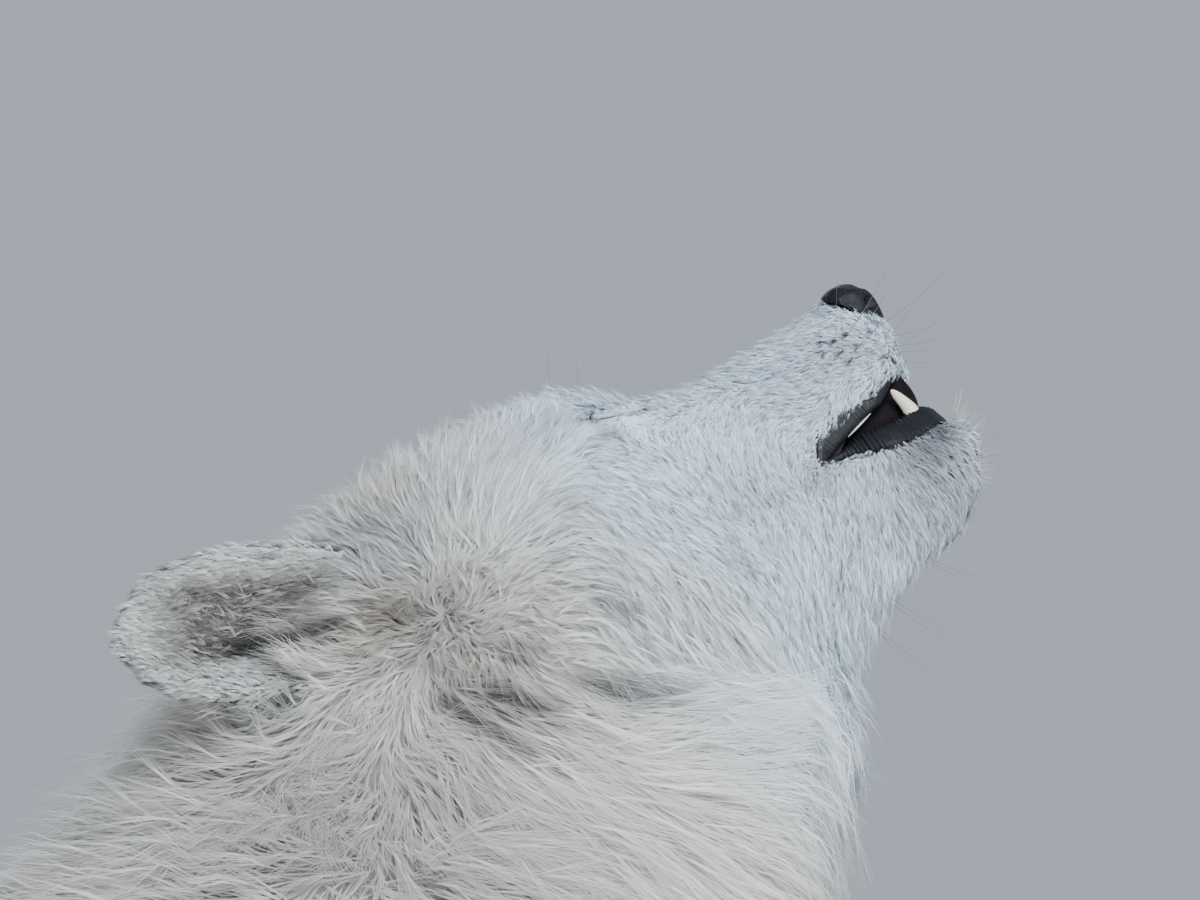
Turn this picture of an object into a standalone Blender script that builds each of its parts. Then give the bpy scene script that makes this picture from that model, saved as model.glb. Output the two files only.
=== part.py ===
"""Arctic wolf, standing and howling, as a still life-size model.

The outer form, out to the tips of the coat, is built from named muscle and coat
masses that blend into each other. It is then parted with thin cuts into head, jaw,
neck, trunk, tail, legs and paws. Ears, nose pad, eyes and lower canines are their
own pieces. Metres, +X is the way the wolf faces, +Y its left, +Z up, paws on Z = 0.
"""

import math

import bmesh
import bpy
import numpy as np
from mathutils import Matrix, Vector

# ---- driving dimensions -------------------------------------------------------
NOSE_TIP = Vector((0.66, 0.0, 1.06))   # front of the nose pad
HEAD_PITCH = math.radians(42)          # the palate's slope above the horizontal
WITHERS_HEIGHT = 0.775
BACK_HEIGHT = 0.735
CROUP_HEIGHT = 0.735
CHEST_FLOOR = 0.40
FRONT_PAW_X = 0.325
HIND_PAW_X = -0.385
LEG_SPREAD = 0.088                     # from the midline to each leg
LEG_CUT_INNER = 0.030                  # the cut round an upper leg starts here, beside the midline
LEG_CUT_OUTER = 0.25                   # and ends here, outside the body
GAP = 0.0004                           # the width of every parting cut
CENTIMETRE = 0.01
SAMPLE = 0.005                         # voxel of the blended form
BODY_SHARE = 0.0205                    # of the blended form's triangles, kept in the solids
GRADIENT_STEP = 0.0004

EYE_CENTRE = (-11.5, 4.2, 2.0)         # in the head's frame, in centimetres
EYE_RADIUS = 0.0135
EAR_WIDTH = 6.7                        # centimetres
EAR_THICKNESS = 0.009
EAR_TRIANGLES = 420
TOE_PITCH = 0.0215
TOES = ((-1.5, 0.064), (-0.5, 0.078), (0.5, 0.078), (1.5, 0.064))   # place across, reach ahead
SIDES = ((-1, "right"), (1, "left"))

# ---- finishes: linear colour and roughness -------------------------------------
FUR = ((0.56, 0.58, 0.58), 0.9)
FINISHES = {
    "nose": ((0.02, 0.02, 0.024), 0.4),
    "eye": ((0.10, 0.09, 0.08), 0.5),
    "ear": ((0.42, 0.43, 0.42), 0.9),
    "head": ((0.50, 0.58, 0.64), 0.9),
    "jaw": ((0.42, 0.46, 0.50), 0.9),
    "neck": ((0.52, 0.53, 0.53), 0.9),
}

HEAD_FRAME = Matrix.Translation(NOSE_TIP) @ Matrix.Rotation(-HEAD_PITCH, 4, "Y")
WORLD_FRAME = Matrix.Identity(4)


def head_point(x, y, z):
    """A point of the head's own frame, in centimetres from the nose tip, in the world."""
    return HEAD_FRAME @ (Vector((x, y, z)) * CENTIMETRE)


# ---- masses -------------------------------------------------------------------
class Ball:
    """An ellipsoid in a frame. A pitch lifts its front, and a yaw turns its front outwards."""

    def __init__(self, centre, radii, pitch=0.0, yaw=0.0, blend=0.02, frame=WORLD_FRAME):
        turn = Matrix.Rotation(math.radians(yaw), 4, "Z") @ Matrix.Rotation(-math.radians(pitch), 4, "Y")
        self.place = frame @ Matrix.Translation(centre) @ turn
        self.radii = np.array(radii)
        self.blend = blend
        self.inverse = np.array(self.place.inverted())

    def distance(self, points):
        local = points @ self.inverse[:3, :3].T + self.inverse[:3, 3]
        scaled = np.linalg.norm(local / self.radii, axis=1)
        slope = np.linalg.norm(local / self.radii**2, axis=1)
        return scaled * (scaled - 1) / np.maximum(slope, 1e-9)

    def add_to(self, mesh):
        place = self.place @ Matrix.Diagonal((*self.radii, 1.0))
        bmesh.ops.create_icosphere(mesh, subdivisions=3, radius=1.0, matrix=place)


class Limb:
    """A round bar between two points, with a radius at each end; squash is its breadth over its depth."""

    def __init__(self, start, end, radii, squash=1.0, blend=0.02, frame=WORLD_FRAME):
        self.start = Vector(start)
        self.end = Vector(end)
        self.radii = radii
        self.squash = squash
        self.blend = blend
        self.frame = frame
        self.inverse = np.array(frame.inverted())

    def distance(self, points):
        local = points @ self.inverse[:3, :3].T + self.inverse[:3, 3]
        narrow = np.array((1.0, 1.0 / self.squash, 1.0))
        start = np.array(self.start) * narrow
        along = np.array(self.end) * narrow - start
        offset = local * narrow - start
        share = np.clip(offset @ along / (along @ along), 0, 1)
        radius = self.radii[0] + (self.radii[1] - self.radii[0]) * share
        return np.linalg.norm(offset - share[:, None] * along, axis=1) - radius

    def add_to(self, mesh):
        ends = bmesh.new()
        for centre, radius in zip((self.start, self.end), self.radii):
            size = Matrix.Diagonal((radius, radius * self.squash, radius, 1.0))
            place = self.frame @ Matrix.Translation(centre) @ size
            bmesh.ops.create_icosphere(ends, subdivisions=2, radius=1.0, matrix=place)
        bmesh.ops.delete(ends, geom=ends.edges, context="EDGES_FACES")
        bmesh.ops.convex_hull(ends, input=ends.verts)
        inner = [v for v in ends.verts if not v.link_faces]
        bmesh.ops.delete(ends, geom=inner, context="VERTS")
        hull = bpy.data.meshes.new("hull")
        ends.to_mesh(hull)
        ends.free()
        mesh.from_mesh(hull)
        bpy.data.meshes.remove(hull)


def both_sides(make, centre, *others, **settings):
    """The same mass on the right (-Y) and, mirrored, on the left; a yaw turns the other way there."""
    masses = []
    for side in (-1, 1):
        turned = dict(settings)
        if "yaw" in turned:
            turned["yaw"] *= -side
        points = [(p[0], side * p[1], p[2]) for p in (centre, *others[:-1])]
        masses.append(make(*points, others[-1], **turned))
    return masses


def in_head(kind, *geometry, **settings):
    """A mass given in the head's frame and in centimetres."""
    scaled = []
    for value in geometry:
        scaled.append(tuple(v * CENTIMETRE for v in value))
    settings.setdefault("blend", 1.0)
    settings["blend"] *= CENTIMETRE
    return kind(*scaled, frame=HEAD_FRAME, **settings)


def head_ball(centre, radii, **settings):
    return in_head(Ball, centre, radii, **settings)


def head_limb(start, end, radii, **settings):
    return in_head(Limb, start, end, radii, **settings)


def head_masses():
    """Skull, brows, cheeks, and the muzzle with its upper lips."""
    return [
        head_ball((-18.2, 0, 2.6), (7.4, 6.3, 5.3), pitch=-6, blend=2.5),
        head_ball((-14.4, 0, 2.5), (3.9, 4.2, 3.0), pitch=30, blend=2.5),
        *both_sides(head_ball, (-12.7, 2.7, 2.8), (2.2, 1.6, 1.1), pitch=-24, yaw=14, blend=1.2),
        *both_sides(head_ball, (-15.6, 4.5, 0.2), (5.2, 3.0, 3.6), yaw=8, blend=2.0),
        *both_sides(head_ball, (-19.5, 5.2, -1.8), (5.6, 4.2, 6.2), pitch=20, blend=2.5),
        head_limb((-3.1, 0, -0.45), (-11.5, 0, -0.35), (1.95, 3.6), blend=1.5),
        head_ball((-1.85, 0, -0.9), (1.7, 1.8, 1.85), blend=1.0),
        head_ball((-1.15, 0, 0.25), (1.2, 1.7, 1.15), blend=0.4),
        *both_sides(head_ball, (-3.3, 1.4, -2.5), (2.75, 1.45, 2.2), pitch=14, yaw=8, blend=1.0),
        *both_sides(head_ball, (-7.3, 2.1, -2.3), (3.9, 1.75, 2.35), yaw=8, blend=1.4),
        *both_sides(head_ball, (-10.9, 3.1, 0.1), (3.6, 1.7, 2.2), yaw=10, blend=1.5),
    ]


def jaw_masses():
    """Chin, the two sides of the lower jaw, and the throat's skin between them."""
    return [
        head_ball((-4.15, 0, -7.45), (2.7, 2.15, 2.1), blend=1.0),
        head_ball((-2.7, 0, -6.75), (2.05, 1.75, 1.45), pitch=-20, blend=0.8),
        *both_sides(head_ball, (-4.2, 1.8, -6.05), (2.5, 0.9, 1.0), pitch=-8, yaw=12, blend=0.6),
        head_limb((-5.0, 0, -7.6), (-12.0, 0, -7.1), (2.05, 3.3), squash=1.12, blend=1.5),
        *both_sides(head_ball, (-9.0, 2.6, -5.6), (3.6, 1.4, 1.9), yaw=10, blend=1.4),
        head_limb((-11.5, 0, -6.8), (-16.5, 0, -5.4), (3.7, 5.4), squash=1.15, blend=2.0),
    ]


def mouth_opening():
    """What the open mouth takes away: a wedge between the lips that closes at their corners."""
    return [head_limb((-6.1, 0, -4.6), (-0.4, 0, -4.4), (0.4, 1.05), squash=8.0, blend=0.4)]


def neck_masses():
    """The ruff behind the cheeks, and the neck's mane down to the chest."""
    return [
        head_ball((-22.8, 0, 0.2), (7.0, 8.0, 7.8), blend=3.0),
        Limb((0.468, 0, 0.83), (0.40, 0, 0.69), (0.125, 0.16), squash=0.88, blend=0.06),
        Limb((0.557, 0, 0.868), (0.49, 0, 0.68), (0.10, 0.118), squash=0.94, blend=0.05),
        Limb((0.385, 0, 0.775), (0.25, 0, 0.655), (0.07, 0.095), squash=1.0, blend=0.06),
    ]


def trunk_masses():
    """Ribs, breast, loin, belly, rump and shoulders with their coat."""
    rib_depth = (WITHERS_HEIGHT - CHEST_FLOOR) / 2
    rib_centre = CHEST_FLOOR + rib_depth
    return [
        Ball((0.20, 0, rib_centre - 0.008), (0.25, 0.14, rib_depth - 0.012), pitch=-5, blend=0.07),
        Ball((0.41, 0, 0.60), (0.125, 0.12, 0.145), pitch=50, blend=0.07),
        Ball((-0.09, 0, BACK_HEIGHT - 0.135), (0.26, 0.12, 0.13), pitch=5, blend=0.07),
        Ball((-0.275, 0, CROUP_HEIGHT - 0.123), (0.15, 0.115, 0.122), pitch=-14, blend=0.06),
        *both_sides(Ball, (0.30, 0.088, 0.60), (0.165, 0.06, 0.10), pitch=-56, blend=0.06),
    ]


def front_leg(side):
    y = side * LEG_SPREAD
    x = FRONT_PAW_X
    return [
        Limb((x - 0.01, y, 0.53), (x - 0.03, y, 0.43), (0.078, 0.058), squash=0.8, blend=0.05),
        Limb((x - 0.03, y, 0.43), (x - 0.006, y, 0.19), (0.055, 0.035), squash=0.88, blend=0.03),
        Limb((x - 0.006, y, 0.19), (x + 0.012, y, 0.06), (0.035, 0.035), squash=0.95, blend=0.03),
        Ball((x - 0.012, y, 0.185), (0.036, 0.033, 0.05), blend=0.03),
    ]


def hind_leg(side):
    y = side * LEG_SPREAD
    x = HIND_PAW_X
    return [
        Ball((-0.295, side * 0.078, 0.555), (0.108, 0.060, 0.165), pitch=-14, blend=0.06),
        Limb((-0.268, y, 0.455), (x - 0.022, y, 0.27), (0.070, 0.038), squash=0.82, blend=0.04),
        Limb((x - 0.030, y, 0.255), (x - 0.016, y, 0.06), (0.036, 0.035), squash=0.9, blend=0.03),
        Ball((x - 0.042, y, 0.25), (0.03, 0.027, 0.045), pitch=-24, blend=0.03),
    ]


def paw(x, side):
    """A furred paw with four toes side by side in front."""
    y = side * LEG_SPREAD
    masses = [Ball((x + 0.028, y, 0.0285), (0.056, 0.041, 0.036), blend=0.025)]
    for step, reach in TOES:
        toe = (x + reach, y + step * TOE_PITCH, 0.0195)
        masses.append(Ball(toe, (0.026, 0.0135, 0.0225), yaw=step * 5, blend=0.008))
    return masses


def tail_masses():
    """A bushy tail hanging behind the hocks, thickest half way down."""
    stations = 9
    masses = []
    last = None
    for i in range(stations + 1):
        share = i / stations
        centre = Vector((-0.375 - 0.15 * math.sin(share * math.pi * 0.55), 0, 0.675 - 0.40 * share))
        fullness = 0.024 * math.sin(math.pi * min(1.0, share * 1.25))
        taper = 0.032 * max(0.0, share - 0.6) / 0.4
        radius = 0.045 + fullness - taper
        if last:
            masses.append(Limb(last[0], centre, (last[1], radius), squash=0.92, blend=0.04))
        last = (centre, radius)
    return masses


def all_masses():
    masses = head_masses() + neck_masses() + jaw_masses() + trunk_masses() + tail_masses()
    for side in (-1, 1):
        masses += front_leg(side) + hind_leg(side)
        masses += paw(FRONT_PAW_X, side) + paw(HIND_PAW_X, side)
    return masses


# ---- from masses to one blended mesh --------------------------------------------
def smooth_min(a, b, width):
    overlap = np.maximum(width - np.abs(a - b), 0) / width
    return np.minimum(a, b) - overlap**2 * width / 4


def blended(masses, openings, points):
    distance = masses[0].distance(points)
    for mass in masses[1:]:
        distance = smooth_min(distance, mass.distance(points), mass.blend)
    for opening in openings:
        distance = -smooth_min(-distance, opening.distance(points), opening.blend)
    return distance


def settle(masses, openings, points):
    """Moves points along the slope of the blended distance, towards its surface."""
    here = blended(masses, openings, points)
    slope = np.empty_like(points)
    for axis in range(3):
        step = np.zeros(3)
        step[axis] = GRADIENT_STEP
        slope[:, axis] = (blended(masses, openings, points + step) - here) / GRADIENT_STEP
    steep = np.maximum((slope**2).sum(axis=1), 0.2)
    move = slope * (here / steep)[:, None]
    return points - np.clip(move, -SAMPLE, SAMPLE)


def clear_scene():
    for obj in list(bpy.data.objects):
        bpy.data.objects.remove(obj)


def new_object(name, mesh, collection):
    obj = bpy.data.objects.new(name, mesh)
    collection.objects.link(obj)
    return obj


def bake(obj):
    """Applies the object's modifiers by taking its evaluated mesh."""
    graph = bpy.context.evaluated_depsgraph_get()
    mesh = bpy.data.meshes.new_from_object(obj.evaluated_get(graph))
    obj.modifiers.clear()
    obj.data = mesh
    return obj


def points_of(mesh):
    points = np.empty(len(mesh.vertices) * 3)
    mesh.vertices.foreach_get("co", points)
    return points.reshape(-1, 3)


def voxels(obj, size):
    remesh = obj.modifiers.new("remesh", "REMESH")
    remesh.mode = "VOXEL"
    remesh.voxel_size = size
    return bake(obj)


def solid(name, mesh, collection):
    """A helper object that takes over a bmesh. It stays out of the render."""
    data = bpy.data.meshes.new(name)
    mesh.to_mesh(data)
    mesh.free()
    obj = new_object(name, data, collection)
    obj.hide_render = True
    return obj


def carve(obj, tool, operation="DIFFERENCE"):
    """Cuts or joins two closed meshes. The exact solver drops pieces where thin walls cross curved coat."""
    boolean = obj.modifiers.new("carve", "BOOLEAN")
    boolean.operation = operation
    boolean.solver = "MANIFOLD"
    boolean.object = tool
    return bake(obj)


def blend_masses(name, masses, openings, voxel, collection):
    """One closed mesh of all the masses, blended into each other."""
    joined = bmesh.new()
    for mass in masses:
        mass.add_to(joined)
    mesh = bpy.data.meshes.new(name)
    joined.to_mesh(mesh)
    joined.free()
    obj = new_object(name, mesh, collection)
    voxels(obj, voxel)
    for i, opening in enumerate(openings):
        hollow = bmesh.new()
        opening.add_to(hollow)
        carve(obj, solid(f"opening_{i}", hollow, collection))
    voxels(obj, voxel)
    for _ in range(4):
        points = settle(masses, openings, points_of(obj.data))
        obj.data.vertices.foreach_set("co", points.ravel())
        relax = bmesh.new()
        relax.from_mesh(obj.data)
        axes = {"use_axis_x": True, "use_axis_y": True, "use_axis_z": True}
        bmesh.ops.smooth_vert(relax, verts=relax.verts, factor=0.5, **axes)
        relax.to_mesh(obj.data)
        relax.free()
    points = settle(masses, openings, points_of(obj.data))
    obj.data.vertices.foreach_set("co", points.ravel())
    return obj


def sever(obj, plane_point, plane_normal):
    """Cuts away what lies behind a plane and closes the cut with flat faces."""
    mesh = bmesh.new()
    mesh.from_mesh(obj.data)
    geometry = [*mesh.verts, *mesh.edges, *mesh.faces]
    cut = bmesh.ops.bisect_plane(
        mesh, geom=geometry, plane_co=plane_point, plane_no=plane_normal, clear_inner=True
    )
    rims = [edge for edge in cut["geom_cut"] if isinstance(edge, bmesh.types.BMEdge)]
    bmesh.ops.holes_fill(mesh, edges=rims, sides=0)
    bmesh.ops.triangulate(mesh, faces=mesh.faces)
    mesh.to_mesh(obj.data)
    mesh.free()


def thin_out(obj):
    """Fewer triangles, with more of them kept on the muzzle, the head, the paws and the legs."""
    group = obj.vertex_groups.new(name="plain")
    points = points_of(obj.data)
    inverse = np.array(HEAD_FRAME.inverted())
    local = (points @ inverse[:3, :3].T + inverse[:3, 3]) / CENTIMETRE
    above_throat = np.clip((local[:, 2] + 12.5) / 2, 0, 1)
    head = np.clip((local[:, 0] + 23) / 6, 0, 1) * above_throat
    muzzle = np.clip((local[:, 0] + 10) / 3, 0, 1) * above_throat
    paws = np.clip((0.10 - points[:, 2]) / 0.03, 0, 1)
    legs = np.clip((0.40 - points[:, 2]) / 0.05, 0, 1)
    detail = np.maximum(0.50 * head + 0.22 * muzzle, 0.12 * legs + 0.14 * paws)
    for i, share in enumerate(detail):
        group.add([i], 1.0 - share, "REPLACE")
    thin = obj.modifiers.new("thin", "DECIMATE")
    thin.vertex_group = group.name
    thin.vertex_group_factor = 1.0
    thin.ratio = BODY_SHARE
    thin.use_collapse_triangulate = True
    halves = obj.modifiers.new("halves", "MIRROR")
    halves.use_axis = (False, True, False)
    halves.use_bisect_axis = (False, True, False)
    halves.merge_threshold = 1e-5
    bake(obj)
    obj.vertex_groups.clear()


# ---- cutters ------------------------------------------------------------------
def wall(name, mesh, collection):
    """Gives a surface the width of a parting cut."""
    bmesh.ops.recalc_face_normals(mesh, faces=mesh.faces)
    obj = solid(name, mesh, collection)
    thickness = obj.modifiers.new("thickness", "SOLIDIFY")
    thickness.thickness = GAP
    thickness.offset = 0
    thickness.use_even_offset = True
    return bake(obj)


def drawn_line(mesh, outline, frame, near, far):
    """An outline in the frame's X-Z plane, in centimetres, drawn out sideways from near to far."""
    scaled = [Vector((x * CENTIMETRE, near, z * CENTIMETRE)) for x, z in outline]
    row = [mesh.verts.new(frame @ point) for point in scaled]
    edges = [mesh.edges.new(pair) for pair in zip(row, row[1:])]
    drawn = bmesh.ops.extrude_edge_only(mesh, edges=edges)["geom"]
    moved = [v for v in drawn if isinstance(v, bmesh.types.BMVert)]
    across = frame.to_3x3() @ Vector((0, far - near, 0))
    bmesh.ops.translate(mesh, verts=moved, vec=across)


def sheet(name, outline, half_width, frame, collection):
    mesh = bmesh.new()
    drawn_line(mesh, outline, frame, -half_width, half_width)
    return wall(name, mesh, collection)


def leg_box(name, outline, side, collection):
    """The wall round a leg's upper part: a closed outline seen from the side, and its two ends."""
    mesh = bmesh.new()
    near, far = side * LEG_CUT_INNER, side * LEG_CUT_OUTER
    drawn_line(mesh, [*outline, outline[0]], WORLD_FRAME, near, far)
    bmesh.ops.remove_doubles(mesh, verts=mesh.verts, dist=1e-6)
    rims = [edge for edge in mesh.edges if edge.is_boundary]
    bmesh.ops.holes_fill(mesh, edges=rims, sides=0)
    return wall(name, mesh, collection)


def eye_shell(name, side, collection):
    """A round wall that parts the closed eye from the head."""
    mesh = bmesh.new()
    x, y, z = EYE_CENTRE
    place = Matrix.Translation(head_point(x, side * y, z))
    bmesh.ops.create_icosphere(mesh, subdivisions=2, radius=EYE_RADIUS, matrix=place)
    return wall(name, mesh, collection)


def parting_walls(collection):
    front, hind = FRONT_PAW_X / CENTIMETRE, HIND_PAW_X / CENTIMETRE
    sheets = {
        "head_cut": ([(-29, 22), (-27.5, 10), (-25, 2), (-20, -5.5), (-12.8, -9), (-9.5, -15)], HEAD_FRAME),
        "jaw_cut": ([(3, -3.5), (-6.3, -4.6), (-10.8, -4.2), (-11.2, -8), (-8.8, -13)], HEAD_FRAME),
        "nose_cut": ([(-1.9, 4), (-1.5, 1.2), (-1.0, -0.75), (2.5, -1.0)], HEAD_FRAME),
        "neck_cut": ([(12, 95), (21, 77), (34, 68), (45, 58), (75, 44)], WORLD_FRAME),
        "chest_cut": ([(3, 100), (4, 60), (1, 20)], WORLD_FRAME),
        "loin_cut": ([(-14, 100), (-12, 60), (-9, 20)], WORLD_FRAME),
        "tail_cut": ([(-33, 90), (-36.5, 69), (-41.5, 60), (-43.5, 50), (-42, 30)], WORLD_FRAME),
        "wrist_cut": ([(front - 9, 7.8), (front + 4, 7.8), (front + 16, 6)], WORLD_FRAME),
        "ankle_cut": ([(hind - 9, 7.8), (hind + 4, 7.8), (hind + 16, 6)], WORLD_FRAME),
    }
    walls = [sheet(name, line, 0.3, frame, collection) for name, (line, frame) in sheets.items()]
    arm = [(20, 38.5), (19, 50), (22, 61), (29, 65), (36, 61), (40.5, 52), (43, 38.5)]
    thigh = [(-50, 26.5), (-48, 35), (-42.5, 43), (-41, 55), (-36, 64)]
    thigh += [(-27, 65), (-19, 58), (-15.5, 46), (-15.5, 38), (-27, 26.5)]
    for side, label in SIDES:
        walls.append(leg_box(f"{label}_arm_cut", arm, side, collection))
        walls.append(leg_box(f"{label}_thigh_cut", thigh, side, collection))
        walls.append(eye_shell(f"{label}_eye_cut", side, collection))
    return walls


# ---- ears, teeth and claws ------------------------------------------------------
def ear(name, side, collection):
    """A rounded, cupped ear laid back along the neck, its hollow turned outwards."""
    mesh = bmesh.new()
    steps_along, steps_across = 12, 10
    base = Vector((-24.6, side * 7.6, 2.2))
    tip = Vector((-32.2, side * 11.0, 7.8))
    along = (tip - base).normalized()
    outward = Vector((0.35, side, -0.25)).normalized()
    across = along.cross(outward).normalized() * side
    outward = across.cross(along).normalized() * side
    length = (tip - base).length
    rows = []
    for i in range(steps_along + 1):
        share = i / steps_along
        half_width = EAR_WIDTH / 2 * math.sqrt(max(0.0, 1 - max(0.0, (share - 0.38) / 0.62) ** 2.4))
        half_width *= 0.86 + 0.14 * min(1.0, share / 0.38)
        row = []
        for j in range(steps_across + 1):
            turn = 2 * j / steps_across - 1
            cup = (1.9 - 1.3 * share) * turn**2
            point = base + along * share * length + across * turn * half_width + outward * cup
            row.append(mesh.verts.new(HEAD_FRAME @ (point * CENTIMETRE)))
        rows.append(row)
    for lower, upper in zip(rows, rows[1:]):
        for j in range(steps_across):
            mesh.faces.new((lower[j], lower[j + 1], upper[j + 1], upper[j]))
    bmesh.ops.remove_doubles(mesh, verts=mesh.verts, dist=1e-5)
    bmesh.ops.recalc_face_normals(mesh, faces=mesh.faces)
    obj = solid(name, mesh, collection)
    thickness = obj.modifiers.new("thickness", "SOLIDIFY")
    thickness.thickness = EAR_THICKNESS
    thickness.offset = 0
    bake(obj)
    voxels(obj, EAR_THICKNESS / 3)
    thin = obj.modifiers.new("thin", "DECIMATE")
    thin.ratio = EAR_TRIANGLES / (2 * len(obj.data.polygons))
    return bake(obj)


def cone_between(name, root, tip, radii, collection):
    mesh = bmesh.new()
    axis = tip - root
    place = Matrix.Translation((root + tip) / 2) @ axis.to_track_quat("Z", "Y").to_matrix().to_4x4()
    bmesh.ops.create_cone(
        mesh, cap_ends=True, segments=6, radius1=radii[0], radius2=radii[1], depth=axis.length, matrix=place
    )
    return solid(name, mesh, collection)


def add_canines(jaw, helpers):
    for side, label in SIDES:
        root = head_point(-2.5, side * 1.65, -6.6)
        tip = head_point(-2.2, side * 1.95, -4.1)
        carve(jaw, cone_between(f"{label}_canine", root, tip, (0.0040, 0.0010), helpers), "UNION")


def add_claws(part, x, side, helpers):
    for step, reach in TOES:
        centre = Vector((x + reach, side * LEG_SPREAD + step * TOE_PITCH, 0.016))
        root = centre + Vector((0.014, step * 0.002, 0.004))
        tip = centre + Vector((0.036, step * 0.004, -0.011))
        carve(part, cone_between("claw", root, tip, (0.0042, 0.0012), helpers), "UNION")


# ---- parting and naming ---------------------------------------------------------
def loose_pieces(obj, collection):
    """Splits the cut body into its separate closed pieces."""
    mesh = bmesh.new()
    mesh.from_mesh(obj.data)
    bpy.data.objects.remove(obj)
    unseen = set(mesh.faces)
    pieces = []
    while unseen:
        found = {unseen.pop()}
        border = list(found)
        while border:
            face = border.pop()
            beside = {other for edge in face.edges for other in edge.link_faces} & unseen
            unseen -= beside
            found |= beside
            border.extend(beside)
        piece = bmesh.new()
        copies = {}
        for face in found:
            for vertex in face.verts:
                if vertex not in copies:
                    copies[vertex] = piece.verts.new(vertex.co)
            piece.faces.new([copies[vertex] for vertex in face.verts])
        pieces.append(solid("piece", piece, collection))
    mesh.free()
    return pieces


def volume_and_centre(obj):
    mesh = bmesh.new()
    mesh.from_mesh(obj.data)
    volume = mesh.calc_volume(signed=True)
    centre = Vector((0, 0, 0))
    bmesh.ops.triangulate(mesh, faces=mesh.faces)
    for face in mesh.faces:
        a, b, c = (vertex.co for vertex in face.verts)
        centre += (a + b + c) / 4 * a.dot(b.cross(c)) / 6
    mesh.free()
    return volume, centre / max(volume, 1e-12)


def expected_centres():
    """Roughly where each named piece has its middle."""
    centres = {
        "head": head_point(-16, 0, 2),
        "jaw": head_point(-7, 0, -7.5),
        "nose": head_point(-1, 0, 0.3),
        "neck": Vector((0.42, 0, 0.76)),
        "chest": Vector((0.20, 0, 0.58)),
        "belly": Vector((-0.05, 0, 0.60)),
        "rump": Vector((-0.27, 0, 0.62)),
        "tail": Vector((-0.49, 0, 0.47)),
    }
    for side, label in SIDES:
        y = side * LEG_SPREAD
        x, eye_y, z = EYE_CENTRE
        centres[f"{label}_eye"] = head_point(x, side * eye_y, z)
        centres[f"front_{label}_upper_leg"] = Vector((0.30, y, 0.51))
        centres[f"front_{label}_lower_leg"] = Vector((FRONT_PAW_X, y, 0.23))
        centres[f"front_{label}_paw"] = Vector((FRONT_PAW_X + 0.03, y, 0.035))
        centres[f"hind_{label}_upper_leg"] = Vector((-0.32, y, 0.46))
        centres[f"hind_{label}_lower_leg"] = Vector((HIND_PAW_X - 0.03, y, 0.17))
        centres[f"hind_{label}_paw"] = Vector((HIND_PAW_X + 0.03, y, 0.035))
    return centres


def name_pieces(pieces):
    """Each expected centre takes the nearest piece, and every piece must be taken once."""
    centres = expected_centres()
    measured = [(piece, *volume_and_centre(piece)) for piece in pieces]
    named = {}
    for name, centre in centres.items():
        piece, volume, middle = min(measured, key=lambda item: (item[2] - centre).length)
        named[name] = piece
        piece.name = name
    if len(set(named.values())) != len(centres) or len(pieces) != len(centres):
        found = [(round(volume * 1e6, 2), middle.to_tuple(3)) for _, volume, middle in measured]
        raise RuntimeError(f"{len(pieces)} pieces for {len(centres)} names: {found}")
    return named


# ---- finish ---------------------------------------------------------------------
def paint(obj, finish):
    colour, roughness = finish
    material = bpy.data.materials.new(obj.name)
    material.use_nodes = True
    shader = material.node_tree.nodes["Principled BSDF"]
    shader.inputs["Base Color"].default_value = (*colour, 1)
    shader.inputs["Roughness"].default_value = roughness
    shader.inputs["Metallic"].default_value = 0
    obj.data.materials.clear()
    obj.data.materials.append(material)


def finish_of(name):
    for word, finish in FINISHES.items():
        if word in name:
            return finish
    return FUR


def place(obj, holder, middle):
    """Puts the object's origin in its middle and hangs it on the holder."""
    obj.data.transform(Matrix.Translation(-middle))
    obj.location = middle
    obj.parent = holder


def build():
    clear_scene()
    scene_root = bpy.context.scene.collection
    wolf = bpy.data.collections.new("arctic_wolf")
    helpers = bpy.data.collections.new("cutters")
    scene_root.children.link(wolf)
    scene_root.children.link(helpers)

    body = blend_masses("body", all_masses(), mouth_opening(), SAMPLE, helpers)
    thin_out(body)
    sever(body, (0, 0, 0), (0, 0, 1))
    swollen = new_object("swollen_body", body.data.copy(), helpers)
    swell = swollen.modifiers.new("swell", "DISPLACE")
    swell.strength = GAP
    swell.mid_level = 0
    swollen.hide_render = True
    for cutter in parting_walls(helpers):
        carve(body, cutter)
    nodes = name_pieces(loose_pieces(body, helpers))
    for side, label in SIDES:
        nodes[f"{label}_ear"] = carve(ear(f"{label}_ear", side, helpers), swollen)
        add_claws(nodes[f"front_{label}_paw"], FRONT_PAW_X, side, helpers)
        add_claws(nodes[f"hind_{label}_paw"], HIND_PAW_X, side, helpers)
    add_canines(nodes["jaw"], helpers)
    for helper in list(helpers.objects):
        if helper not in nodes.values():
            bpy.data.objects.remove(helper)

    corners = np.concatenate([points_of(obj.data) for obj in nodes.values()])
    low, high = corners.min(axis=0), corners.max(axis=0)
    holder = bpy.data.objects.new("arctic_wolf", None)
    wolf.objects.link(holder)
    holder.location = (-(low[0] + high[0]) / 2, -(low[1] + high[1]) / 2, -low[2])
    for name, obj in nodes.items():
        helpers.objects.unlink(obj)
        wolf.objects.link(obj)
        obj.hide_render = False
        paint(obj, finish_of(name))
        place(obj, holder, volume_and_centre(obj)[1])
    print(f"{len(nodes)} pieces, moved by {tuple(round(v, 4) for v in holder.location)}")
    for name, obj in sorted(nodes.items()):
        triangles = sum(len(face.vertices) - 2 for face in obj.data.polygons)
        print(f"{name}: {triangles} triangles, {volume_and_centre(obj)[0] * 1e6:.1f} cm3")


build()
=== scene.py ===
import math

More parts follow.
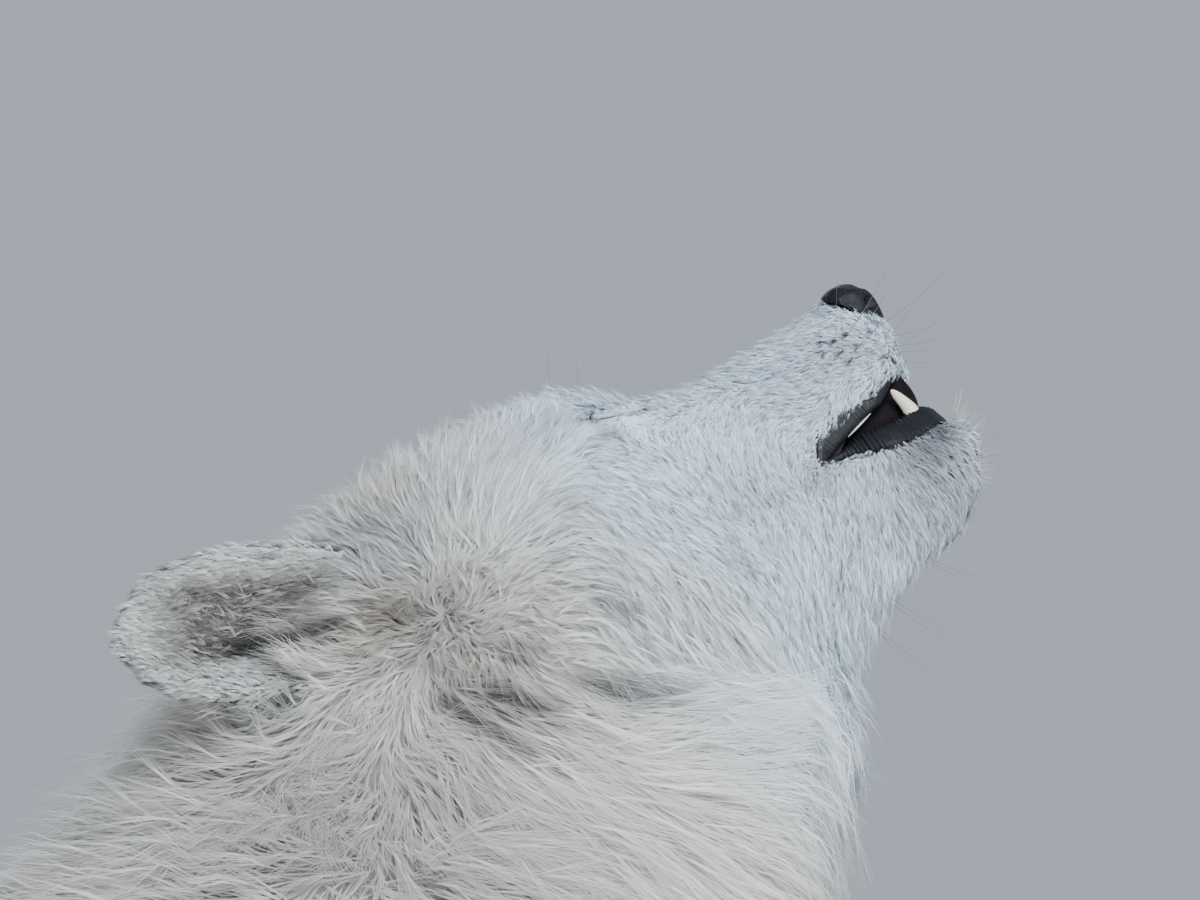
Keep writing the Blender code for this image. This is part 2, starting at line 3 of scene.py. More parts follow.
import bmesh
import bpy
import numpy as np
from mathutils import Matrix, Vector
from mathutils.bvhtree import BVHTree


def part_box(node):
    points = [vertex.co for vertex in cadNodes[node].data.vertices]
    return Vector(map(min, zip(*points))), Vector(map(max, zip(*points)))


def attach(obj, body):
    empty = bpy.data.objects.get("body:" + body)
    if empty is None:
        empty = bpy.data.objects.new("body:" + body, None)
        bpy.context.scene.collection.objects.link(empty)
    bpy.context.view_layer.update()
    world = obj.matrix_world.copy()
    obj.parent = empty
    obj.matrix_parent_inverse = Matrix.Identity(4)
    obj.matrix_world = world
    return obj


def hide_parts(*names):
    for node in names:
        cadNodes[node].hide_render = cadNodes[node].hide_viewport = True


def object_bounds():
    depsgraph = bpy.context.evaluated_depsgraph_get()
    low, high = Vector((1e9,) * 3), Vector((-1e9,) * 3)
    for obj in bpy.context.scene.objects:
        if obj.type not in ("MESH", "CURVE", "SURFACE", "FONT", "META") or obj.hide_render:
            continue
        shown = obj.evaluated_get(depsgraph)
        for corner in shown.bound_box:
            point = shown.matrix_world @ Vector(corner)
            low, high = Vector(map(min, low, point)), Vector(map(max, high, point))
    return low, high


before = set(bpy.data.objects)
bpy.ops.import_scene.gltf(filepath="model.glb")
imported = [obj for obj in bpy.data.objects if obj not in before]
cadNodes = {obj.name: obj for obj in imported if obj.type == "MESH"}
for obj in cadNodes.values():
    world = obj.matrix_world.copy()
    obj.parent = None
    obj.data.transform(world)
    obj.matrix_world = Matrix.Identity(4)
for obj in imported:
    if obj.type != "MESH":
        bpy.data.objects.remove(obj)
cadBox = [list(corner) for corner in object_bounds()]
cm = 0.01
mm = 0.001

# The head has a frame of its own: centimetres from the nose tip, X along the palate,
# Y to the wolf's left, Z up from the palate. Both sides are alike, so places are given for Y > 0.
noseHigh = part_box("nose")[1]
noseTip = Vector((noseHigh.x - 4.4 * mm, 0, noseHigh.z - 5.7 * mm))
palateSlope = math.radians(42)
headFrame = Matrix.Translation(noseTip) @ Matrix.Rotation(-palateSlope, 4, "Y")
headBack = np.array(headFrame.inverted())


def inHead(x, y, z):
    return headFrame @ (Vector((x, y, z)) * cm)


def toHead(points):
    return (points @ headBack[:3, :3].T + headBack[:3, 3]) / cm


def foldedHead(points):
    # places in the head's frame, with the right side laid over the left
    local = toHead(points)
    local[:, 1] = np.abs(local[:, 1])
    return local


def onSide(place, side):
    return inHead(place[0], side * place[1], place[2])


def inNode(name, x, y, z):
    # a place in a node's box, as shares of its sides, with y from the middle out
    low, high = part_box(name)
    middle, half = (low.y + high.y) / 2, (high.y - low.y) / 2
    return Vector((low.x + x * (high.x - low.x), middle + y * half, low.z + z * (high.z - low.z)))


def hashed(cells, seed):
    # an even random number from 0 to 1 for each whole-number cell
    mixed = np.full(len(cells), seed * 7919 + 17, np.uint64)
    for axis, prime in enumerate((73856093, 19349663, 83492791)):
        mixed ^= (cells[:, axis].astype(np.int64) + 4096).astype(np.uint64) * np.uint64(prime)
    mixed ^= mixed >> np.uint64(13)
    mixed *= np.uint64(0x5BD1E995)
    mixed ^= mixed >> np.uint64(15)
    mixed *= np.uint64(0x27D4EB2F)
    mixed ^= mixed >> np.uint64(16)
    return (mixed & np.uint64(0xFFFFFF)).astype(float) / 0xFFFFFF


def softNoise(points, size, seed):
    # smooth noise from -1 to 1, with lumps about this size
    scaled = points / size
    low = np.floor(scaled)
    part = scaled - low
    part = part * part * (3 - 2 * part)
    total = np.zeros(len(points))
    for corner in np.ndindex(2, 2, 2):
        weight = np.prod(np.where(np.array(corner) == 1, part, 1 - part), axis=1)
        total += weight * hashed(low + corner, seed)
    return total * 2 - 1


def locksOf(points, size, seed):
    # the middle of the lock that each point belongs to, and two random numbers of that lock
    base = np.floor(points / size)
    nearest = np.full(len(points), np.inf)
    middle = np.zeros_like(points)
    numbers = np.zeros((len(points), 2))
    for step in np.ndindex(3, 3, 3):
        cell = base + np.array(step) - 1
        jitter = np.stack([hashed(cell, seed + k) for k in range(3)], axis=1)
        place = (cell + jitter) * size
        distance = np.linalg.norm(place - points, axis=1)
        closer = distance < nearest
        nearest[closer], middle[closer] = distance[closer], place[closer]
        numbers[closer] = jitter[closer, :2]
    return middle, numbers


def unit(vectors):
    return vectors / np.maximum(np.linalg.norm(vectors, axis=-1, keepdims=True), 1e-12)


def across(vectors, normals):
    return vectors - normals * np.sum(vectors * normals, axis=-1, keepdims=True)


def rise(values, low, high):
    share = np.clip((values - low) / (high - low), 0, 1)
    return share * share * (3 - 2 * share)


def between(values, low, high):
    return low + (high - low) * values


def bell(gap, reach):
    return np.exp(-((gap / reach) ** 2))


def mixIn(first, second, share):
    return first + (np.array(second) - first) * share[:, None]


def gapTo(points, place, stretch=1):
    return np.linalg.norm((points - np.array(place)) * stretch, axis=1)


# Angles are seen from the side: 0 points ahead, 90 up, 180 back, 270 down. Lengths and
# depths are in millimetres. Depth is how far the skin lies under the coat's tips.
earWhorl = (-21.75, 10.35, -0.07)
headLie = [
    # x, y, z, angle, length, depth
    (-1.7, 0.9, 1.3, 215, 5, 1.5), (-3.1, 1.7, 0.6, 195, 6, 2.0), (-1.2, 1.6, -1.0, 185, 4, 1.5),
    (-2.6, 2.7, -2.7, 205, 5, 2.2), (-3.3, 2.9, -3.4, 238, 7, 2.2), (-4.5, 3.3, -3.4, 238, 5, 2.0),
    (-5.6, 3.5, -3.7, 236, 4, 1.6), (-6.5, 3.5, -4.2, 245, 4, 1.8), (-2.0, 2.2, -3.7, 240, 5, 2.0),
    (-5.3, 3.4, -2.1, 195, 7, 2.6), (-6.6, 1.5, 1.7, 205, 7, 2.5), (-8.0, 4.0, -1.5, 262, 8, 3.0),
    (-9.3, 3.6, 2.1, 197, 7, 2.5), (-10.3, 4.9, -1.9, 300, 10, 3.6), (-7.9, 3.8, -3.9, 296, 8, 3.2),
    (-11.0, 2.5, 4.6, 190, 7, 3.0), (-13.3, 1.5, 7.0, 165, 10, 4.5), (-12.8, 7.2, -0.3, 310, 10, 4.0),
    (-13.4, 7.8, -2.8, 306, 12, 5.0), (-10.9, 5.0, -5.5, 292, 10, 4.5), (-2.5, 1.5, -8.4, 318, 8, 3.0),
    (-1.0, 1.0, -6.6, 10, 6, 2.5), (-3.2, 1.9, -6.9, 320, 7, 2.8), (-4.6, 2.4, -8.4, 298, 9, 3.6),
    (-6.1, 2.8, -7.1, 275, 9, 3.8), (-7.8, 2.5, -8.9, 262, 11, 5.0), (-10.1, 3.6, -9.2, 246, 13, 6.0),
    (-14.5, 8.5, -6.0, 284, 18, 8.0), (-16.0, 9.5, -3.2, 298, 17, 8.0), (-14.6, 7.0, 2.7, 55, 12, 5.0),
    (-15.4, 5.6, 4.7, 72, 15, 6.0), (-17.5, 4.7, 6.4, 97, 20, 8.0), (-14.8, 0.5, 8.3, 152, 13, 5.5),
    (-17.0, 0.5, 8.8, 138, 19, 8.0), (-21.0, 0.5, 9.8, 138, 26, 11.0), (-25.6, 0.5, 10.4, 152, 34, 13.0),
    (-30.0, 2.0, 9.0, 165, 45, 16.0), (-37.2, 7.1, 4.5, 165, 50, 17.0), (-40.0, 7.1, 4.4, 158, 55, 18.0),
    (-32.5, 8.8, 2.9, 178, 46, 15.0), (-37.3, 10.8, -0.3, 200, 55, 18.0),
    (-31.0, 11.2, -2.5, 232, 52, 17.0), (-28.0, 11.2, -8.2, 322, 60, 20.0),
    (-24.1, 11.0, -3.6, 325, 42, 12.0), (-23.2, 11.0, -5.6, 338, 48, 14.0),
    (-22.4, 10.1, -10.5, 333, 56, 18.0), (-23.4, 9.4, -13.8, 332, 60, 20.0),
    (-17.4, 8.8, -10.6, 4, 42, 14.0), (-15.0, 6.5, -12.2, 12, 38, 13.0),
    (-14.6, 3.9, -14.2, 322, 44, 15.0), (-12.5, 1.0, -11.6, 250, 18, 8.0),
    (-16.4, 0.5, -16.5, 305, 50, 18.0),
]
whorlRings = {3.6: range(0, 181, 30), 1.7: range(0, 360, 45)}   # reach: the coat's turns round the whorl
for reach, turns in whorlRings.items():
    for turn in turns:
        lean = math.radians(turn) - palateSlope
        place = (earWhorl[0] + reach * math.cos(lean), 10.0, earWhorl[2] + reach * math.sin(lean))
        headLie.append((*place, turn, 20, 8.0))

bodyLie = {
    # for each node: shares of its box, then as above
    "chest": [(0.95, 0.30, 0.75, 285, 66, 24), (1.00, 0.05, 0.45, 262, 66, 24),
        (0.78, 0.85, 0.60, 250, 60, 22), (0.62, 0.30, 1.00, 185, 62, 22),
        (0.30, 0.20, 1.00, 180, 60, 20), (0.45, 1.00, 0.60, 205, 50, 18),
        (0.20, 0.90, 0.55, 200, 48, 17), (0.70, 0.20, 0.05, 200, 55, 18),
        (0.25, 0.30, 0.00, 190, 48, 14)],
    "belly": [(0.50, 0.20, 1.00, 180, 52, 18), (0.50, 1.00, 0.50, 207, 46, 16),
        (0.50, 0.30, 0.00, 195, 42, 12)],
    "rump": [(0.60, 0.20, 1.00, 180, 50, 17), (0.20, 0.30, 0.95, 190, 52, 17),
        (0.60, 1.00, 0.60, 215, 46, 16), (0.10, 0.80, 0.50, 235, 46, 15)],
    "tail": [(0.80, 0.50, 0.95, 215, 56, 18), (0.45, 0.70, 0.70, 245, 62, 20),
        (0.30, 0.70, 0.35, 262, 66, 20), (0.30, 0.30, 0.02, 268, 50, 14)],
    "front_left_upper_leg": [(0.50, 0.80, 0.85, 240, 40, 13), (0.60, 0.60, 0.45, 250, 34, 11),
        (0.55, 0.00, 0.12, 262, 26, 8), (0.20, 0.00, 0.20, 245, 34, 9)],
    "front_left_lower_leg": [(0.60, 0.00, 0.85, 265, 20, 6), (0.60, 0.00, 0.40, 268, 15, 4.5),
        (0.20, 0.00, 0.60, 255, 22, 6)],
    "front_left_paw": [(0.35, 0.00, 0.90, 290, 13, 4), (0.75, 0.00, 0.60, 330, 11, 3.5)],
    "hind_left_upper_leg": [(0.50, 0.80, 0.80, 225, 42, 14), (0.75, 0.80, 0.55, 245, 36, 12),
        (0.25, 0.60, 0.45, 240, 40, 12), (0.30, 0.20, 0.10, 250, 28, 8)],
    "hind_left_lower_leg": [(0.50, 0.00, 0.85, 262, 20, 6), (0.50, 0.00, 0.30, 268, 15, 4.5)],
    "hind_left_paw": [(0.35, 0.00, 0.90, 290, 13, 4), (0.75, 0.00, 0.60, 330, 11, 3.5)],
}


def guides():
    rows = [(inHead(*spot[:3]), *spot[3:]) for spot in headLie]
    rows += [(inNode(node, *spot[:3]), *spot[3:]) for node, spots in bodyLie.items() for spot in spots]
    places, directions, sizes = [], [], []
    for place, angle, length, depth in rows:
        turn = math.radians(angle)
        for side in (-1, 1):
            places.append((place.x, side * abs(place.y), place.z))
            directions.append((math.cos(turn), 0, math.sin(turn)))
            sizes.append((length * mm, depth * mm))
    return np.array(places), np.array(directions), np.array(sizes)


def guided(points, atOnce=20000):
    # what the guides say at each point: direction, length and depth
    places, directions, sizes = guides()
    direction = np.zeros((len(points), 3))
    size = np.zeros((len(points), 2))
    for start in range(0, len(points), atOnce):
        some = slice(start, start + atOnce)
        gap = np.linalg.norm(points[some, None, :] - places[None], axis=2)
        weight = 1 / (gap + 4 * mm) ** 4
        weight /= weight.sum(axis=1, keepdims=True)
        direction[some] = weight @ directions
        size[some] = weight @ sizes
    return direction, size


markings = {
    "body": (0.73, 0.71, 0.665),
    "neck": (0.78, 0.765, 0.725),
    "warm": (0.64, 0.57, 0.48),
    # white with a painted cool cast, standing in for the sky's light on the face
    "face": (0.75, 0.87, 0.97),
    "earBack": (0.56, 0.555, 0.54),
    "earDark": (0.065, 0.06, 0.055),
    "earPale": (0.42, 0.40, 0.36),
    # the pale hairs' colour darkened: the hollow's own dark skin, and painted shade in it
    "earHollowDarkAndShade": (0.1596, 0.152, 0.1368),
    # near black: the lips' own dark skin, and painted shade inside the mouth
    "mouth": (0.020, 0.016, 0.018),
    "pad": (0.035, 0.033, 0.033),
    "whiskerSpot": (0.05, 0.06, 0.07),
}
faceMarks = [
    # x, y, z, reach, strength, colour: where the face's colour differs from its white; the wide grey mark
    # under the jaw is painted shade
    (-4.5, 2.9, -2.2, 2.6, 0.58, (0.54, 0.61, 0.69)),
    (-9.6, 4.4, -3.5, 1.7, 0.42, (0.45, 0.49, 0.53)),
    (-15.0, 9.0, -5.7, 1.5, 0.45, (0.66, 0.61, 0.53)),
    (-2.0, 2.4, -2.0, 1.2, 0.65, (0.44, 0.48, 0.54)),
    (-1.2, 1.2, 0.5, 0.7, 0.70, (0.34, 0.37, 0.42)),
    (-3.2, 1.9, -8.0, 2.7, 0.88, (0.28, 0.295, 0.325)),
    (-2.0, 1.8, -6.35, 0.95, 0.96, (0.035, 0.04, 0.05)),
    (-3.1, 2.3, -6.75, 0.75, 0.80, (0.10, 0.11, 0.13)),
    # painted shade under the jaw
    (-8.0, 3.2, -8.3, 3.0, 0.45, (0.52, 0.57, 0.60)),
    (-3.6, 2.2, -6.9, 0.8, 0.60, (0.26, 0.28, 0.32)),
    (-7.0, 3.2, -5.2, 1.0, 0.60, (0.36, 0.40, 0.45)),
    (-12.2, 6.2, 1.6, 0.75, 0.85, (0.34, 0.37, 0.40)),
    (-14.3, 7.0, -7.6, 3.2, 0.60, (0.68, 0.67, 0.62)),
    (-12.5, 5.8, 2.9, 0.45, 0.75, (0.20, 0.20, 0.22)),
    (-10.2, 4.6, 1.65, 0.30, 0.80, (0.16, 0.16, 0.18)),
    (-16.3, 8.6, -1.2, 1.8, 0.45, (0.58, 0.58, 0.55)),
    (-17.0, 9.4, -4.6, 1.8, 0.55, (0.55, 0.53, 0.50)),
    (-23.4, 10.2, 0.9, 1.45, 0.97, (0.22, 0.15, 0.085)),
    (-21.9, 9.0, 3.5, 1.6, 0.80, (0.30, 0.32, 0.34)),
    (-26.0, 9.9, 1.5, 1.6, 0.60, (0.54, 0.47, 0.37)),
    (-20.9, 10.6, -3.6, 1.6, 0.45, (0.42, 0.40, 0.36)),
    (-21.8, 10.3, -0.4, 2.3, 0.76, (0.31, 0.30, 0.265)),
    (-21.8, 8.4, 4.4, 2.8, 0.62, (0.36, 0.385, 0.40)),
    (-23.0, 10.8, -2.7, 1.7, 0.70, (0.33, 0.31, 0.275)),
    (-28.0, 11.0, -9.5, 5.5, 0.60, (0.46, 0.455, 0.43)),
    (-25.7, 9.2, 4.2, 1.3, 0.94, (0.085, 0.08, 0.07)),
    (-31.2, 11.2, -3.3, 5.2, 0.70, (0.345, 0.33, 0.30)),
]
creaseShadows = [
    # a fold's line in X and Z of the head's frame, its reach and strength: the coat is painted dark in it, a
    # painted shade of the fold
    ([(-19.41, -7.10), (-18.99, -7.88), (-17.85, -8.51)], 0.42, 0.92),
    ([(-22.75, -4.35), (-21.72, -6.05)], 0.42, 0.92),
    ([(-24.32, -3.22), (-23.87, -4.96), (-23.39, -6.63)], 0.34, 0.85),
    ([(-21.16, -3.63), (-20.31, -4.15)], 0.50, 0.50),
    ([(-20.07, -5.71), (-19.85, -6.45)], 0.24, 0.60),
    ([(-17.25, -4.38), (-16.51, -5.27)], 0.26, 0.60),
    ([(-28.80, 4.40), (-26.92, 3.29), (-24.96, 2.20)], 0.30, 0.93),
    ([(-28.62, 4.21), (-28.10, 2.01)], 0.20, 0.75),
    ([(-27.80, 1.61), (-29.10, 1.14)], 0.26, 0.65),
    ([(-24.2, 1.4), (-22.5, -0.1)], 0.22, 0.45),
]
whiskerSpots = [
    # X and Z in the head's frame
    (-3.16, -1.11), (-2.87, -0.55), (-2.46, -0.99), (-2.63, -1.63), (-2.57, -2.13), (-1.93, -1.82),
    (-1.99, -1.12), (-1.43, -2.85), (-1.10, -1.55), (-3.40, -1.75), (-1.75, -2.40), (-1.20, -2.20),
]


def coatColour(points):
    local = foldedHead(points)
    colour = np.tile(markings["body"], (len(points), 1))

    def lay(weight, tint):
        colour[:] = mixIn(colour, tint, weight)

    lay(rise(local[:, 0], -46, -32), markings["neck"])
    warm = rise(softNoise(points, 34 * mm, 301), -0.1, 0.7) * rise(local[:, 0], -60, -40)
    lay(0.55 * warm * (1 - rise(local[:, 0], -19, -13)), markings["warm"])
    # the face's white, with its painted cool cast of sky light
    lay(rise(local[:, 0], -21, -11) * rise(local[:, 2] - 0.3 * local[:, 0], -14, -7), markings["face"])
    for x, y, z, reach, strength, tint in faceMarks:
        lay(strength * bell(gapTo(local, (x, y, z)), reach), tint)
    for x, z in whiskerSpots:
        spot = bell(np.hypot(local[:, 0] - x, local[:, 2] - z), 0.12) * (local[:, 1] > 1)
        lay(0.92 * spot, markings["whiskerSpot"])
    lay(1 - rise(points[:, 2], 4 * mm, 9 * mm), markings["pad"])
    return colour


def inCreases(points):
    # how much light is left in the folds at each point
    local = foldedHead(points)
    left = np.ones(len(points))
    for line, reach, strength in creaseShadows:
        left *= 1 - strength * rise(local[:, 1], 4, 5) * bell(lineDistance(local[:, ::2], line)[0], reach)
    return left[:, None]


print("lie of the coat laid out")


view = {"place": (0.2554, -2.0964, -0.6298), "aim": (-0.1136, -0.0036, -0.0604), "lens": 158.4}
light = {
    # each lamp's place, size and power
    "lamps": {"key": ((2.0, -3.0, 2.6), 3.0, 208.0), "fill": ((2.6, -1.6, 0.5), 2.0, 42.0),
              "rim": ((-0.8, 2.8, 2.6), 2.5, 40.0)},
    "tint": (0.90, 0.95, 1.0), "sky": (0.56, 0.62, 0.71), "skyStrength": 0.78,
}


def newObject(name, data):
    obj = bpy.data.objects.new(name, data)
    bpy.context.scene.collection.objects.link(obj)
    return obj


def aimAt(obj, place, aim):
    obj.location = place
    obj.rotation_euler = (Vector(aim) - Vector(place)).to_track_quat("-Z", "Y").to_euler()


def setStage():
    lens = bpy.data.cameras.new("view")
    lens.lens, lens.clip_end = view["lens"], 50
    camera = newObject("view", lens)
    aimAt(camera, noseTip + Vector(view["place"]), noseTip + Vector(view["aim"]))
    bpy.context.scene.camera = camera
    for name, (place, size, power) in light["lamps"].items():
        lamp = bpy.data.lights.new(name, "AREA")
        lamp.shape, lamp.size, lamp.energy, lamp.color = "DISK", size, power, light["tint"]
        aimAt(newObject(name, lamp), place, noseTip - Vector((0.25, 0, 0.25)))
    world = bpy.data.worlds.new("studio")
    world.use_nodes = True
    background = world.node_tree.nodes["Background"]
    background.inputs["Color"].default_value = (*light["sky"], 1)
    background.inputs["Strength"].default_value = light["skyStrength"]
    bpy.context.scene.world = world
    mesh = bmesh.new()
    bmesh.ops.create_grid(mesh, x_segments=1, y_segments=1, size=12)
    floor = pieceFrom(mesh, "floor")
    finish = Finish("floor", (0.70, 0.70, 0.69), 0.9)
    finish.set(Roughness=finish.noise(6.0) * 0.1 + 0.85)
    floor.data.materials.append(finish.data)


class Shade:
    # a socket that adds its Math nodes when values are worked out from it

    def __init__(self, material, socket):
        self.material = material
        self.socket = socket

    def maths(self, operation, first, second):
        return self.material.add("ShaderNodeMath", {"operation": operation}, {0: first, 1: second}, 0)

    def __mul__(self, other):
        return self.maths("MULTIPLY", self, other)

    def __add__(self, other):
        return self.maths("ADD", self, other)

    def __sub__(self, other):
        return self.maths("SUBTRACT", self, other)

    def __rsub__(self, other):
        return self.maths("SUBTRACT", other, self)

    __rmul__, __radd__ = __mul__, __add__


class Finish:
    # a material with its shader, which adds nodes by type, settings and socket values

    def __init__(self, name, colour, roughness):
        self.data = bpy.data.materials.new(name)
        self.data.use_nodes = True
        self.tree = self.data.node_tree
        self.shader = self.tree.nodes["Principled BSDF"]
        self.set(Base_Color=colour, Roughness=roughness)

    def add(self, kind, settings, values, output):
        node = self.tree.nodes.new(kind)
        for key, value in settings.items():
            setattr(node, key, value)
        for key, value in values.items():
            self.put(node.inputs[key], value)
        return Shade(self, node.outputs[output])

    def put(self, socket, value):
        if isinstance(value, Shade):
            self.tree.links.new(value.socket, socket)
        else:
            socket.default_value = (*value, 1) if socket.type == "RGBA" else value

    def set(self, **values):
        for key, value in values.items():
            self.put(self.shader.inputs[key.replace("_", " ")], value)

    def pattern(self, kind, output, **values):
        values["Vector"] = self.add("ShaderNodeTexCoord", {}, {}, "Object")
        return self.add(kind, {}, values, output)

    def noise(self, scale):
        return self.pattern("ShaderNodeTexNoise", "Fac", Scale=scale, Detail=3.0)

    def bump(self, height, distance, strength):
        values = {"Height": height, "Distance": distance, "Strength": strength}
        self.set(Normal=self.add("ShaderNodeBump", {}, values, "Normal"))

    def mixed(self, share, first, second):
        # colours blended by a share
        return self.add("ShaderNodeMix", {"data_type": "RGBA"}, {0: share, 6: first, 7: second}, 2)


def grained(name, shades, rough, bump=None):
    # shades and rough: a noise's scale and the two colours, or the least value and span, that it runs over
    finish = Finish(name, shades[1], rough[1])
    finish.set(Base_Color=finish.mixed(finish.noise(shades[0]), shades[1], shades[2]))
    finish.set(Roughness=finish.noise(rough[0]) * rough[2] + rough[1])
    if bump:
        finish.bump(finish.noise(bump[0]), bump[1] * mm, bump[2])
    return finish


def furMaterial(name, mottling):
    # the markings ride on the mesh as an attribute, with a little mottling over them
    finish = Finish(name, (0.7, 0.7, 0.7), 0.85)
    marks = finish.add("ShaderNodeAttribute", {"attribute_name": "markings"}, {}, "Color")
    finish.set(Base_Color=finish.mixed(finish.noise(90.0) * mottling, marks, (0.30, 0.30, 0.29)))
    finish.set(Specular_IOR_Level=0.25, Sheen_Weight=0.12, Sheen_Roughness=0.5)
    return finish


def lipMaterial(name, colour, wet, gloss=0.3):
    finish = Finish(name, colour, 0.42)
    grain = finish.noise(260.0)
    dark = tuple(part * 0.45 for part in colour)
    finish.set(Base_Color=finish.mixed(grain, dark, (colour[0] * 1.7, colour[1] * 1.7, colour[2] * 1.8)))
    finish.set(Roughness=0.66 - grain * 0.4 * wet, Coat_Weight=finish.noise(90.0) * (0.45 * wet))
    finish.set(Coat_Roughness=0.16, Specular_IOR_Level=gloss)
    finish.bump(finish.noise(900.0) + finish.noise(300.0), 0.35 * mm, 0.7)
    return finish.data


def noseMaterial():
    finish = Finish("noseLeather", (0.012, 0.013, 0.017), 0.5)
    pebbles = finish.pattern("ShaderNodeTexVoronoi", "Distance", Scale=900.0)
    # the grooves between the pebbles are painted darker, painted shade in them
    finish.set(Base_Color=finish.mixed(pebbles, (0.013, 0.015, 0.020), (0.004, 0.004, 0.006)))
    finish.set(Roughness=pebbles * 0.3 + 0.40, Coat_Weight=finish.noise(120.0) * 0.10)
    finish.set(Coat_Roughness=0.3, Specular_IOR_Level=0.16)
    finish.bump(1 - pebbles, 0.25 * mm, 0.8)
    return finish.data


def pieceFrom(mesh, name):
    data = bpy.data.meshes.new(name)
    mesh.to_mesh(data)
    mesh.free()
    return newObject(name, data)


def smoothShaded(obj):
    obj.data.polygons.foreach_set("use_smooth", np.ones(len(obj.data.polygons), bool))


def applyModifiers(obj):
    graph = bpy.context.evaluated_depsgraph_get()
    data = bpy.data.meshes.new_from_object(obj.evaluated_get(graph))
    obj.modifiers.clear()
    old = obj.data
    obj.data = data
    bpy.data.meshes.remove(old)


def voxelMesh(obj, size):
    remesh = obj.modifiers.new("even", "REMESH")
    remesh.mode = "VOXEL"
    remesh.voxel_size = size
    applyModifiers(obj)


def declare(obj, slotName, *nodes):
    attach(obj, "root")
    if nodes:
        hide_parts(*nodes)


def finished(mesh, name, material, slotName, levels=0, nodes=()):
    # a closed bmesh made into a smooth piece with its material, riding on the body
    bmesh.ops.recalc_face_normals(mesh, faces=mesh.faces)
    obj = pieceFrom(mesh, name)
    if levels:
        rounder = obj.modifiers.new("round", "SUBSURF")
        rounder.levels = rounder.render_levels = levels
        applyModifiers(obj)
    smoothShaded(obj)
    obj.data.materials.append(material)
    declare(obj, slotName, *nodes)


def ringEdges(ring):
    members = set(ring)
    return list({edge for vert in ring for edge in vert.link_edges if edge.other_vert(vert) in members})


def loft(mesh, stations, segments):
    # round sections bridged into one closed bar; each station has a centre and its two half-widths
    rings = []
    for centre, wide, thick in stations:
        along = wide.cross(thick).normalized()
        place = Matrix.Translation(centre) @ Matrix((wide, thick, along)).transposed().to_4x4()
        rings.append(bmesh.ops.create_circle(mesh, segments=segments, radius=1, matrix=place)["verts"])
    loops = [ringEdges(ring) for ring in rings]
    for lower, upper in zip(loops, loops[1:]):
        bmesh.ops.bridge_loops(mesh, edges=lower + upper)
    for end in (loops[0], loops[-1]):
        bmesh.ops.holes_fill(mesh, edges=end, sides=0)
    return rings


def smoothCurve(points, steps):
    # a smooth line through the points, as evenly shared steps
    data = [Vector(p) for p in points]
    line = []
    for i in range(steps + 1):
        place = i / steps * (len(data) - 1)
        k = min(int(place), len(data) - 2)
        t = place - k
        before = data[k - 1] if k else data[0] * 2 - data[1]
        after = data[k + 2] if k + 2 < len(data) else data[-1] * 2 - data[-2]
        a, b = data[k], data[k + 1]
        line.append(0.5 * (2 * a + (b - before) * t + (2 * before - 5 * a + 4 * b - after) * t**2
                           + (3 * a - before - 3 * b + after) * t**3))
    return line


skinShape = {"voxel": 6.0 * mm, "swell": 0.4 * mm, "relax": 3, "depthShare": 0.28, "shade": 0.95,
             "probe": 0.2, "lipHollow": 5.5 * mm, "lowest": 0.6 * mm}
lipLine = {
    # the fur's edge above and below the mouth, from the corner to the middle of the front
    "upper": [(-6.6, 3.2, -4.5), (-5.8, 3.12, -3.62), (-5, 3, -3.48), (-4.2, 2.8, -3.45),
        (-3.5, 2.48, -3.65), (-2.8, 2.15, -3.85), (-1.8, 1.6, -3.45), (-1.2, 0.9, -3), (-1, 0, -2.85)],
    "upperInner": [(-6.4, 2.92, -4.76), (-5.6, 2.66, -4.52), (-4.9, 2.48, -4.38), (-4.2, 2.34, -4.3),
        (-3.5, 2.14, -4.2), (-2.8, 1.92, -4.12), (-1.9, 1.5, -3.65), (-1.4, 0.85, -3.25),
        (-1.25, 0, -3.1)],
    "lower": [(-6.6, 3.2, -4.72), (-5.4, 2.84, -5.15), (-4.5, 2.7, -5.65), (-3.7, 2.55, -6.05),
        (-2.7, 2.18, -6.28), (-1.85, 1.62, -6.25), (-1.45, 0.85, -6.35), (-1.35, 0, -6.4)],
    "lowerTop": [(-6.35, 2.9, -4.78), (-5.3, 2.62, -4.78), (-4.33, 2.35, -4.76), (-3.46, 2.1, -5),
        (-2.6, 1.75, -5.2), (-1.85, 1.35, -5.22), (-1.45, 0.75, -5.45), (-1.35, 0, -5.6)],
    "overhang": 0.25,
}
toes = {"pitch": 21.5 * mm, "height": 19.5 * mm, "clawReach": 36.9 * mm, "outerBack": 14 * mm,
        "radii": (26 * mm, 13.5 * mm, 22.5 * mm)}
eyeSlit = [(-10.2, 4.6, 1.68), (-10.45, 4.73, 1.74), (-10.91, 5.10, 1.88), (-11.49, 5.40, 2.15),
           (-11.91, 5.61, 2.37), (-12.26, 5.67, 2.70), (-12.5, 5.78, 2.86)]
eyeBall = (-11.3, 5.1, 2.15)
noseEdge = (-1.15, 1.35, -0.35)   # where the muzzle's fur meets the side of the nose


def lineDistance(points, line):
    # distance from each point to a line of points, and how far along it that is, from 0 to 1
    line = np.array(line, float)
    best = np.full(len(points), np.inf)
    along = np.zeros(len(points))
    for k in range(len(line) - 1):
        start, reach = line[k], line[k + 1] - line[k]
        share = np.clip((points - start) @ reach / (reach @ reach), 0, 1)
        gap = np.linalg.norm(points - start - share[:, None] * reach, axis=1)
        closer = gap < best
        best[closer] = gap[closer]
        along[closer] = (k + share[closer]) / (len(line) - 1)
    return best, along


